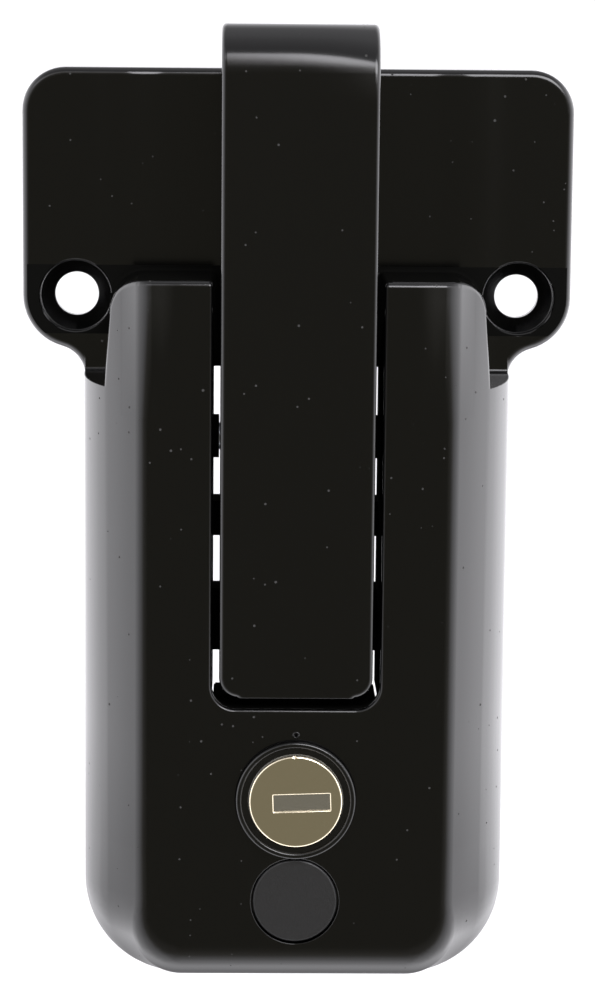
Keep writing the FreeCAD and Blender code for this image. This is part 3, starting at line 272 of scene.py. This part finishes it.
# %% [markdown]
# Every material starts the same way: a Principled shader with typical values, and the place on the part in
# metres, which the patterns need. The shader is enough for metal, paint, plastic and rubber.

# %% A new finish


def finish(name, colour, roughness, **sockets):
    """A new material: itself, its node tree, its Principled shader and the place on the part."""
    material = bpy.data.materials.new(name)
    material.use_nodes = True
    tree = material.node_tree
    shader = tree.nodes["Principled BSDF"]
    fill(tree, shader, {"Base Color": linear(colour), "Roughness": roughness, **sockets})
    return material, tree, shader, add(tree, "ShaderNodeTexCoord").outputs["Object"]


floor_paper = finish("pale_floor_paper", "#f2f2f2", 0.9)[0]
print("first finish", floor_paper.name)

# %% [markdown]
# The floor is a wide pale sheet under the latch, which hangs free above it as it would on a door. The sheet
# is kept out of mirror reflections, so that the dark opening stays dark in the gloss of the front.

# %% Floor
FLOOR_DROP = 150.0 * MM
FLOOR_HALF = 25000.0 * MM

floor_mesh = bpy.data.meshes.new("floor")
corners = [(x * FLOOR_HALF, y * FLOOR_HALF, 0.0) for x, y in ((-1, -1), (1, -1), (1, 1), (-1, 1))]
floor_mesh.from_pydata(corners, [], [(0, 1, 2, 3)])
floor_mesh.materials.append(floor_paper)
floor = bpy.data.objects.new("floor", floor_mesh)
bpy.context.scene.collection.objects.link(floor)
floor.location.z = cad_box[0].z - FLOOR_DROP
floor.visible_glossy = False
print("floor at", round(floor.location.z / MM), "mm")

# %% [markdown]
# ## Gloss black powder coat
#
# Powder is blown on dry, clings by its charge and is then baked until it flows. It doesn't flow quite flat:
# the skin keeps a faint orange peel, a few microns high and about two millimetres from crest to crest, and
# the casting below keeps longer waves. Both are bump, so they bend what the gloss mirrors. A texture node
# counts its repeats per metre here, and `per_mm` works that out from a spacing in millimetres.

# %% Orange peel over the casting's waves
WAVES = {"spacing": 16.0, "depth": 0.035, "detail": 0.5}
PEEL = {"spacing": 2.0, "depth": 0.002, "detail": 1.0}


def per_mm(spacing):
    """The texture scale that repeats once in the given number of millimetres."""
    return 1.0 / (spacing * MM)


def rippled(tree, place, surface):
    """Lays the long waves and the orange peel over a surface, which is given and returned as its normal."""
    for ripple in (WAVES, PEEL):
        into = {"Vector": place, "Scale": per_mm(ripple["spacing"]), "Detail": ripple["detail"]}
        noise = add(tree, "ShaderNodeTexNoise", into)
        into = {"Height": noise, "Distance": ripple["depth"] * MM, "Normal": surface}
        surface = add(tree, "ShaderNodeBump", into)
    return surface


print("a 2 mm pattern has the scale", per_mm(2.0))

# %% [markdown]
# New parts come out of their bag with a few specks of dust on them. A Voronoi texture splits the surface
# into cells, and each cell's own random colour says whether it holds a speck and how wide that is.

# %% Dust
DUST_CELL = 1.9
DUST_RADIUS = 0.25
CELLS_WITHOUT_DUST = 0.62


def dust_specks(tree, place):
    """One on a speck of dust and nought between the specks."""
    cells = add(tree, "ShaderNodeTexVoronoi", {"Vector": place, "Scale": per_mm(DUST_CELL)})
    chance = add(tree, "ShaderNodeSeparateColor", (cells.outputs["Color"],))
    radius = add(tree, "ShaderNodeMapRange", (chance, CELLS_WITHOUT_DUST, 1.0, 0.0, DUST_RADIUS / DUST_CELL))
    return add(tree, "ShaderNodeMath", (cells.outputs["Distance"], radius), operation="LESS_THAN")


print("dust cells to the square centimetre", round((10 / DUST_CELL) ** 2))

# %% [markdown]
# A charged cloud hardly reaches into a gap. Inside the slot of the housing, in the corner under its shoulder
# and at the foot of that corner, the powder lies thin and dull. That dullness is also painted shade: these
# places mirror none of the tent, so they stay dark. Each place is a box in millimetres, and a
# Compare node tells whether a length lies within half the box's size of its middle.

# %% Where the powder lies thin and shade is painted


def span(low, high):
    """A range in millimetres as its middle and its half in metres."""
    return (low + high) / 2 * MM, (high - low) / 2 * MM


# The places where the powder lies thin, and where its dullness paints shade:
# across to either side, depth in front of the door, and height
THIN_POWDER_SHADE_PLACES = (
    (span(-1.0, 16.8), span(0.5, 27.3), span(-77.0, 4.9)),
    (span(-1.0, 60.0), span(6.9, 26.8), span(4.7, 5.6)),
    (span(-1.0, 60.0), span(6.9, 8.9), span(-7.0, 5.8)),
)


def thin_powder_and_shade(tree, place):
    """One in the gaps of the housing, where the powder is thin and shade is painted, and nought elsewhere."""
    x, y, z = add(tree, "ShaderNodeSeparateXYZ", (place,)).outputs
    across = add(tree, "ShaderNodeMath", (x,), operation="ABSOLUTE")
    depth = add(tree, "ShaderNodeMath", (y, -1.0), operation="MULTIPLY")
    thin_and_shaded = 0.0
    for limits in THIN_POWDER_SHADE_PLACES:
        inside = 1.0
        for length, (middle, half) in zip((across, depth, z), limits):
            within = add(tree, "ShaderNodeMath", (length, middle, half), operation="COMPARE")
            inside = add(tree, "ShaderNodeMath", (inside, within), operation="MULTIPLY")
        thin_and_shaded = add(tree, "ShaderNodeMath", (thin_and_shaded, inside), operation="MAXIMUM")
    return thin_and_shaded


print("places with thin powder", len(THIN_POWDER_SHADE_PLACES))

# %% [markdown]
# A casting isn't as flat as a drawing. The housing's side walls bow out by a few tenths of a millimetre
# between their edges, so that the pale tent fades across them. Its front falls away towards the rounded
# corners at the shoulder, and its walls lean back a little more round the foot. These are soft forms, too
# slight for the outline, so each is a height in millimetres for the bump of the coat.

# %% The housing's soft forms
BOW_ACROSS = (24.5 * MM, 39.9 * MM)
BOW_FADE = (-118.0 * MM, -100.0 * MM)
BOW_HEIGHT = 0.42
SAG_ACROSS = (21.0 * MM, 32.0 * MM)
SAG_FADE = (-20.0 * MM, 2.0 * MM)
SAG_DEPTHS = span(24.0, 31.0)
SAG_HEIGHT = -1.9
FRONT = 28.0 * MM
LEAN_FADE = (-114.0 * MM, -78.0 * MM)
LEAN_PER_METRE = 0.12 / MM


def housing_form(tree, place):
    """The height of the bowed walls, the sagging shoulder and the leaning foot, in millimetres."""
    x, y, z = add(tree, "ShaderNodeSeparateXYZ", (place,)).outputs
    across = add(tree, "ShaderNodeMath", (x,), operation="ABSOLUTE")
    turn = add(tree, "ShaderNodeMapRange", (across, *BOW_ACROSS, 0.0, 2 * math.pi))
    wave = add(tree, "ShaderNodeMath", (turn,), operation="COSINE")
    hump = add(tree, "ShaderNodeMath", (wave, -BOW_HEIGHT / 2, BOW_HEIGHT / 2), operation="MULTIPLY_ADD")
    fade = add(tree, "ShaderNodeMapRange", (z, *BOW_FADE, 0.0, 1.0))
    bow = add(tree, "ShaderNodeMath", (hump, fade), operation="MULTIPLY")

    drop = add(tree, "ShaderNodeMapRange", (across, *SAG_ACROSS, 0.0, SAG_HEIGHT), interpolation_type="SMOOTHSTEP")
    fade = add(tree, "ShaderNodeMapRange", (z, *SAG_FADE, 0.0, 1.0))
    sag = add(tree, "ShaderNodeMath", (drop, fade), operation="MULTIPLY")
    depth = add(tree, "ShaderNodeMath", (y, -1.0), operation="MULTIPLY")
    near_front = add(tree, "ShaderNodeMath", (depth, *SAG_DEPTHS), operation="COMPARE")

    backwards = add(tree, "ShaderNodeMath", (FRONT, depth), operation="SUBTRACT")
    lean = add(tree, "ShaderNodeMapRange", (z, *LEAN_FADE, LEAN_PER_METRE, 0.0), interpolation_type="SMOOTHSTEP")
    form = add(tree, "ShaderNodeMath", (sag, near_front, bow), operation="MULTIPLY_ADD")
    return add(tree, "ShaderNodeMath", (lean, backwards, form), operation="MULTIPLY_ADD")


print("bow of the side walls", BOW_HEIGHT, "mm")

# %% [markdown]
# The rolled top of the lever isn't quite even either: it tilts up a little towards its right end, which
# bends the picture of the soft box in it. The tilt starts at nought and grows with the square of the way.

# %% The lever's soft form
TILT_ACROSS = (-3.0 * MM, 14.0 * MM)
TILT_ROLL = (36.3 * MM, 52.3 * MM)
TILT_HEIGHT = 2.3


def lever_form(tree, place):
    """The height of the tilt of the rolled top, in millimetres."""
    x, _, z = add(tree, "ShaderNodeSeparateXYZ", (place,)).outputs
    to_end = add(tree, "ShaderNodeMapRange", (x, *TILT_ACROSS, 0.0, 1.0))
    growth = add(tree, "ShaderNodeMath", (to_end, to_end), operation="MULTIPLY")
    ends = (TILT_HEIGHT / 2, -TILT_HEIGHT / 2)
    tilt = add(tree, "ShaderNodeMapRange", (z, *TILT_ROLL, *ends), interpolation_type="SMOOTHSTEP")
    return add(tree, "ShaderNodeMath", (growth, tilt), operation="MULTIPLY")


print("tilt of the rolled top", TILT_HEIGHT, "mm")

# %% [markdown]
# The coat itself is black pigment in clear resin. The pigment swallows nearly all the light, so only the
# resin mirrors the room, with the 4 percent of any resin of IOR 1.5. Powder bridges a sharp edge and leaves
# it rounded, which a Bevel node draws. Thin powder is rough and mirrors nothing, which also paints shade
# into the gaps, and dust is grey and rough.
# A Mix node holds several kinds of value: its amount is input 0, its two colours are inputs 6 and 7, and
# their blend is output 2.

# %% Powder coat
COAT_COLOUR = "#030303"
# The thin powder's colour; with no shine there, it also paints the gaps as shade.
THIN_POWDER_SHADE_COLOUR = "#0c0c0b"
DUST_COLOUR = "#2c2c2b"
RESIN_IOR = 1.5
RESIN_SHINE = 0.5
DUST_ROUGHNESS = 0.9
EDGE_ROUNDING = 0.25


def powder_coat(name, roughness, own_form, thin_and_shaded_places=None):
    """Baked black powder coat over a casting's own form, with rounded edges, ripples, specks of dust and, where
    given, thin dull powder that paints shade in the gaps.
    """
    material, tree, shader, place = finish(name, COAT_COLOUR, roughness, IOR=RESIN_IOR)
    edges = add(tree, "ShaderNodeBevel", {"Radius": EDGE_ROUNDING * MM}, samples=6)
    formed = add(tree, "ShaderNodeBump", {"Height": own_form(tree, place), "Distance": MM, "Normal": edges})
    speck = dust_specks(tree, place)
    colour = linear(COAT_COLOUR)
    rough = add(tree, "ShaderNodeMapRange", (speck, 0.0, 1.0, roughness, DUST_ROUGHNESS))
    # In the gaps the powder is thin, rough and without shine, which paints shade there.
    if thin_and_shaded_places:
        thin_and_shaded = thin_and_shaded_places(tree, place)
        into = {0: thin_and_shaded, 6: colour, 7: linear(THIN_POWDER_SHADE_COLOUR)}
        colour = add(tree, "ShaderNodeMix", into, data_type="RGBA").outputs[2]
        rough = add(tree, "ShaderNodeMath", (rough, thin_and_shaded), operation="MAXIMUM")
        shine = add(tree, "ShaderNodeMapRange", (thin_and_shaded, 0.0, 1.0, RESIN_SHINE, 0.0))
        fill(tree, shader, {"Specular IOR Level": shine})
    into = {0: speck, 6: colour, 7: linear(DUST_COLOUR)}
    colour = add(tree, "ShaderNodeMix", into, data_type="RGBA").outputs[2]
    fill(tree, shader, {"Base Color": colour, "Roughness": rough, "Normal": rippled(tree, place, formed)})
    return material


BLACK_COAT = powder_coat("gloss_black_powder_coat_on_housing", 0.13, housing_form, thin_powder_and_shade)
LEVER_COAT = powder_coat("gloss_black_powder_coat_on_lever", 0.16, lever_form)
print("powder coats", BLACK_COAT.name, LEVER_COAT.name)

# %% [markdown]
# ## Zinc plate, spring wire, cast zinc and brass
#
# Small steel parts are plated with a few microns of zinc and passivated, which leaves a bright, faintly
# blue skin. Spring wire is drawn through dies and oiled, so it is greyer. The cylinder is bare die cast
# zinc, dull and leaden, and its wafers are punched from brass sheet, yellow and fairly bright. All four keep
# the grain of their tools and tarnish in slow patches. The real grain is a few hundredths of a millimetre
# wide, too fine to show, so it is drawn at 0.12 mm.

# %% Small metal parts
GRAIN_SPACING, GRAIN_DEPTH = 0.12, 0.004
SMOOTHER, ROUGHER = 0.05, 0.08
NOISE_RANGE = (0.3, 0.7)
PATCH_RANGE = (0.35, 0.7)


def plain_metal(name, colour, roughness, stain, stain_spacing):
    """Bare or plated metal with fine tool grain and a slow change of tone."""
    material, tree, shader, place = finish(name, colour, roughness, Metallic=1.0)
    grain = add(tree, "ShaderNodeTexNoise", {"Vector": place, "Scale": per_mm(GRAIN_SPACING), "Detail": 2.0})
    patches = add(tree, "ShaderNodeTexNoise", {"Vector": place, "Scale": per_mm(stain_spacing), "Detail": 3.0})
    tone = add(tree, "ShaderNodeMapRange", (patches, *PATCH_RANGE, 0.0, 1.0))
    tarnish = add(tree, "ShaderNodeMix", {0: tone, 6: linear(colour), 7: linear(stain)}, data_type="RGBA")
    rough = add(tree, "ShaderNodeMapRange", (grain, *NOISE_RANGE, roughness - SMOOTHER, roughness + ROUGHER))
    relief = add(tree, "ShaderNodeBump", {"Height": grain, "Distance": GRAIN_DEPTH * MM})
    fill(tree, shader, {"Base Color": tarnish.outputs[2], "Roughness": rough, "Normal": relief})
    return material


ZINC_PLATE = plain_metal("bright_zinc_plated_steel", "#c9ccd2", 0.27, stain="#b9bdc8", stain_spacing=5.0)
SPRING_WIRE = plain_metal("drawn_spring_steel", "#8f8e8c", 0.34, stain="#77736d", stain_spacing=7.0)
CAST_ZINC = plain_metal("bare_die_cast_zinc", "#a9abae", 0.46, stain="#8f9196", stain_spacing=4.0)
BRASS = plain_metal("punched_brass", "#c9a45a", 0.3, stain="#b08a45", stain_spacing=3.0)
print("small metal parts", ZINC_PLATE.name, SPRING_WIRE.name, CAST_ZINC.name, BRASS.name)

# %% [markdown]
# ## Chrome
#
# The cap of the cylinder is thin brass sheet, pressed, polished and chromed. It is almost a mirror, so it
# takes the colour of the room in front, which is a warm dark grey. The chrome's own colour is set a little
# warm here, to help the tent with that. Pressing leaves the sheet slightly uneven, which bends the picture,
# and rolls its edges over, which draws a bright line round the face and round the keyway.

# %% Polished chrome
CHROME = "#eadfc6"
CHROME_ROUGHNESS = 0.08
MARKED_ROUGHNESS = (0.07, 0.2)
MARK_RANGE = (0.45, 0.75)
MARK_SPACING = 0.35
DIMPLE_SPACING, DIMPLE_DEPTH = 4.5, 0.05
ROLLED_EDGE = 0.32


def polished_chrome():
    """Chrome plate on pressed sheet: a mirror that isn't quite flat, with fine handling marks."""
    material, tree, shader, place = finish("polished_chrome_plate", CHROME, CHROME_ROUGHNESS, Metallic=1.0)
    press = add(tree, "ShaderNodeTexNoise", {"Vector": place, "Scale": per_mm(DIMPLE_SPACING), "Detail": 1.0})
    marks = add(tree, "ShaderNodeTexNoise", {"Vector": place, "Scale": per_mm(MARK_SPACING), "Detail": 3.0})
    rough = add(tree, "ShaderNodeMapRange", (marks, *MARK_RANGE, *MARKED_ROUGHNESS))
    edges = add(tree, "ShaderNodeBevel", {"Radius": ROLLED_EDGE * MM}, samples=8)
    dimpled = add(tree, "ShaderNodeBump", {"Height": press, "Distance": DIMPLE_DEPTH * MM, "Normal": edges})
    fill(tree, shader, {"Roughness": rough, "Normal": dimpled})
    return material


CHROME_PLATE = polished_chrome()
print("chrome", CHROME_PLATE.name)

# %% [markdown]
# ## Stainless steel
#
# The dust door in the keyway is stainless sheet, brushed along its length, so it is brighter than it is
# sharp. The brush's lines are noise stretched 25 times along the door.

# %% Brushed stainless
STAINLESS_COLOUR = "#c9c6c0"
STAINLESS_ROUGHNESS = 0.25
BRUSHED_ROUGHNESS = (0.22, 0.27)
BRUSH_SPACING, BRUSH_DEPTH = 0.05, 0.0001
BRUSH_STRETCH = (0.04, 1.0, 1.0)


def brushed_stainless():
    """Satin stainless sheet, brushed along its length."""
    material, tree, shader, place = finish(
        "brushed_stainless_sheet", STAINLESS_COLOUR, STAINLESS_ROUGHNESS, Metallic=1.0
    )
    lines = add(tree, "ShaderNodeMapping", {"Vector": place, "Scale": BRUSH_STRETCH})
    brush = add(tree, "ShaderNodeTexNoise", {"Vector": lines, "Scale": per_mm(BRUSH_SPACING), "Detail": 2.0})
    rough = add(tree, "ShaderNodeMapRange", (brush, *NOISE_RANGE, *BRUSHED_ROUGHNESS))
    relief = add(tree, "ShaderNodeBump", {"Height": brush, "Distance": BRUSH_DEPTH * MM})
    fill(tree, shader, {"Roughness": rough, "Normal": relief})
    return material


STAINLESS = brushed_stainless()
print("stainless", STAINLESS.name)

# %% [markdown]
# ## Plastic and rubber
#
# The ring round the cylinder is moulded nylon, which comes out of a polished mould with a soft shine. The
# plug in the screw hole is polythene, moulded in a blasted mould, so it is matt and looks greyer than the
# paint. The gasket is nitrile rubber, duller still. The grain that a mould leaves is about a tenth of a
# millimetre wide, too fine to show, so it is drawn two to six times as coarse.

# %% Moulded plastic and rubber
MOULDED_SPREAD = 0.05


def moulded(name, colour, roughness, ior, grain_spacing, grain_depth):
    """Moulded plastic or rubber with the fine grain of its mould."""
    material, tree, shader, place = finish(name, colour, roughness, IOR=ior)
    grain = add(tree, "ShaderNodeTexNoise", {"Vector": place, "Scale": per_mm(grain_spacing), "Detail": 2.0})
    limits = (roughness - MOULDED_SPREAD, roughness + MOULDED_SPREAD)
    rough = add(tree, "ShaderNodeMapRange", (grain, *NOISE_RANGE, *limits))
    relief = add(tree, "ShaderNodeBump", {"Height": grain, "Distance": grain_depth * MM})
    fill(tree, shader, {"Roughness": rough, "Normal": relief})
    return material


NYLON = moulded("moulded_black_nylon", "#040404", 0.18, ior=1.53, grain_spacing=0.6, grain_depth=0.003)
POLYTHENE = moulded("matt_black_polythene", "#151516", 0.43, ior=1.51, grain_spacing=0.25, grain_depth=0.006)
RUBBER = moulded("moulded_nitrile_rubber", "#1a1a1a", 0.75, ior=1.52, grain_spacing=0.3, grain_depth=0.01)
print("plastics", NYLON.name, POLYTHENE.name, RUBBER.name)

# %% [markdown]
# ## Dress the pieces
#
# Each node of the frame keeps its mesh and its place. Only its material slots are filled anew.

# %% Finishes for the nodes
FINISHES = {
    BLACK_COAT: ("housing",),
    LEVER_COAT: ("hook_lever",),
    ZINC_PLATE: ("pivot_pin", "shutter_pin", "stop_washer", "lock_cam", "cam_screw"),
    SPRING_WIRE: ("pin_clips", "lever_spring", "wafer_springs", "lock_clip", "cam_washer"),
    CAST_ZINC: ("lock_barrel", "lock_core"),
    CHROME_PLATE: ("face_cap",),
    STAINLESS: ("key_shutter",),
    BRASS: ("tumbler_wafers",),
    NYLON: ("lock_bezel",),
    POLYTHENE: ("hole_plug",),
    RUBBER: ("lock_gasket",),
}

for material, names in FINISHES.items():
    for name in names:
        for slot in nodes[name].material_slots:
            slot.material = material
print("dressed", sum(len(names) for names in FINISHES.values()), "of", len(nodes))

# %% [markdown]
# ## The index mark
#
# Above the cylinder the casting carries a small mark for the keyway's upright place: a pit no wider than a
# pinhead, which the solid model has, with a rim thrown up round it by the punch. The rim is too small for
# the solid model, so it is a mesh here: a profile, given as way out and height, turned round its own axis.

# %% Index mark
MARK_PLACE = Vector((0.15, -28.0, -78.2)) * MM
MARK_PROFILE = ((0.28, -0.2), (0.33, 0.1), (0.43, 0.22), (0.55, 0.22), (0.66, 0.08), (0.7, -0.1))
MARK_SIDES = 40

mark_build = bmesh.new()
rings = []
for step in range(MARK_SIDES):
    turn = 2 * math.pi * step / MARK_SIDES
    way_out = Vector((math.cos(turn), 0.0, math.sin(turn)))
    rings.append([mark_build.verts.new((way_out * out + Vector((0, -rise, 0))) * MM) for out, rise in MARK_PROFILE])
for step, ring in enumerate(rings):
    following = rings[(step + 1) % MARK_SIDES]
    for inner in range(len(MARK_PROFILE) - 1):
        mark_build.faces.new((ring[inner], ring[inner + 1], following[inner + 1], following[inner]))
bmesh.ops.recalc_face_normals(mark_build, faces=mark_build.faces)
for face in mark_build.faces:
    face.smooth = True
mark_mesh = bpy.data.meshes.new("index_mark")
mark_build.to_mesh(mark_mesh)
mark_build.free()
mark_mesh.materials.append(BLACK_COAT)
mark = bpy.data.objects.new("index_mark", mark_mesh)
bpy.context.scene.collection.objects.link(mark)
mark.location = MARK_PLACE
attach(mark, "base")
print("index mark faces", len(mark_mesh.polygons))

# %% [markdown]
# ## The lever spring
#
# One piece of wire makes the whole spring: a leg on the casting, a coil round the pin, a run down to the
# lever, a loop across its back and the same again on the other side. When the lever swings, the legs and the
# coils stay and the loop goes with it. So the wire is cut where it leaves the coils: legs and coils ride on
# the base, and the loop rides on the lever, turning round the coils' own axis. Each coil runs on a little
# under the loop's end, so no gap opens there. The solid model has the same wire in one piece.

# %% A coil of the lever spring
COIL_R = 4.2
COIL_TURNS = 2
COIL_PITCH = 1.75
COIL_START_X = 8.6
PIN_DEPTH, PIN_Z = 14.0, -25.0
FULL_TURN = 2 * math.pi


def on_coil(turn):
    """A point of the right coil in millimetres, from the back up over the top."""
    across = COIL_START_X - COIL_PITCH * turn / FULL_TURN
    return Vector((across, COIL_R * math.cos(turn) - PIN_DEPTH, COIL_R * math.sin(turn) + PIN_Z))


print("coil from", [round(v, 1) for v in on_coil(0.0)], "mm")

# %% [markdown]
# The wire leaves the coil where a straight run to the loop just touches it. That gives the coil's last part
# of a turn, and the run drifts sideways as steeply as the coil does.

# %% Legs and coils
LOOP_DEPTH, LOOP_Z = 25.119, -38.0
LEG_Z = -41.25
POINTS_PER_TURN = 32
LAP = math.radians(17)

ahead, fall = LOOP_DEPTH - PIN_DEPTH, LOOP_Z - PIN_Z
to_loop = math.hypot(ahead, fall)
last_turn = math.pi - (math.atan2(fall, ahead) + math.acos(COIL_R / to_loop))
coil_end = FULL_TURN * COIL_TURNS + last_turn
drift = COIL_PITCH / (FULL_TURN * COIL_R)
steps = round(POINTS_PER_TURN * coil_end / FULL_TURN)
coil = [on_coil((coil_end + LAP) * step / steps) for step in range(steps + 1)]
leg_end = Vector((COIL_START_X + drift * (PIN_Z - LEG_Z), COIL_R - PIN_DEPTH, LEG_Z))
right_leg = [leg_end, *coil]
print("coil turns", round(coil_end / FULL_TURN, 2))

# %% [markdown]
# The run ends in a corner at the back of the lever, where the wire is bent round a small radius. The bend's
# middle lies on the line that halves the corner's angle.

# %% The loop
LOOP_BEND_R = 1.6
BEND_STEPS = 8

leave = on_coil(coil_end)
run = math.sqrt(to_loop ** 2 - COIL_R ** 2)
corner = Vector((leave.x - drift * run, -LOOP_DEPTH, LOOP_Z))
falling, inwards = (corner - leave).normalized(), Vector((-1.0, 0.0, 0.0))
half_bend = (-falling).angle(inwards) / 2
bend_middle = corner + (inwards - falling).normalized() * (LOOP_BEND_R / math.sin(half_bend))
bend_reach = LOOP_BEND_R / math.tan(half_bend)
bend_from = corner - falling * bend_reach - bend_middle
bend_to = corner + inwards * bend_reach - bend_middle
bend = [bend_middle + bend_from.slerp(bend_to, step / BEND_STEPS) for step in range(BEND_STEPS + 1)]
half_loop = [leave, *bend]
print("run to the loop", round(run, 1), "mm")

# %% [markdown]
# A curve with a round bevel makes the wire, and its mesh is kept. Both halves of the spring are one mesh
# with two runs, each the other's mirror image.

# %% Bend the wire
WIRE_R = 0.8


def mirrored(points):
    """The same points on the other side of the middle plane, in the opposite order."""
    return [Vector((-p.x, p.y, p.z)) for p in reversed(points)]


def bent_wire(name, runs, body):
    """A round wire along each run of points, as one mesh that rides on a body."""
    curve = bpy.data.curves.new(name, "CURVE")
    curve.dimensions = "3D"
    curve.bevel_depth = WIRE_R * MM
    curve.bevel_resolution = 3
    curve.use_fill_caps = True
    for points in runs:
        spline = curve.splines.new("POLY")
        spline.points.add(len(points) - 1)
        for made, place in zip(spline.points, points):
            made.co = (*(place * MM), 1.0)
    draft = bpy.data.objects.new(name + "_draft", curve)
    mesh = bpy.data.meshes.new_from_object(draft)
    bpy.data.objects.remove(draft)
    mesh.name = name
    for face in mesh.polygons:
        face.use_smooth = True
    mesh.materials.clear()
    mesh.materials.append(SPRING_WIRE)
    wire = bpy.data.objects.new(name, mesh)
    bpy.context.scene.collection.objects.link(wire)
    print(name, "faces", len(mesh.polygons))
    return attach(wire, body)


spring_coils = bent_wire("lever_spring_coils", [right_leg, mirrored(right_leg)], "base")
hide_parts("lever_spring")
bent_wire("lever_spring_loop", [half_loop + mirrored(half_loop)], "lever")

# %% [markdown]
# ## The floor of the slot
#
# Looking down into the slot, one sees its floor run back to the door behind the end of the lever. The casting
# has a rib there, left open where the cam of the lock swings through. It is two flat bars here, one in front
# of the cam and one behind it, a few millimetres below the end of the lever.

# %% Slot floor
RIB_HALF_WIDTH = 15.2
RIB_HEIGHTS = (-77.6, -74.3)
RIB_DEPTHS = ((1.0, 12.4), (15.3, 17.0))
RIB_EDGE = 0.25

rib_build = bmesh.new()
for near, far in RIB_DEPTHS:
    middle = Vector((0.0, -(near + far) / 2, sum(RIB_HEIGHTS) / 2)) * MM
    reach = Vector((2 * RIB_HALF_WIDTH, far - near, RIB_HEIGHTS[1] - RIB_HEIGHTS[0])) * MM
    bmesh.ops.create_cube(rib_build, size=1.0, matrix=Matrix.Translation(middle) @ Matrix.Diagonal((*reach, 1.0)))
bmesh.ops.bevel(rib_build, geom=rib_build.edges[:], offset=RIB_EDGE * MM, segments=2, affect="EDGES")
rib_mesh = bpy.data.meshes.new("slot_floor_rib")
rib_build.to_mesh(rib_mesh)
rib_build.free()
rib_mesh.materials.append(BLACK_COAT)
rib = bpy.data.objects.new("slot_floor_rib", rib_mesh)
bpy.context.scene.collection.objects.link(rib)
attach(rib, "base")
print("slot floor faces", len(rib_mesh.polygons))
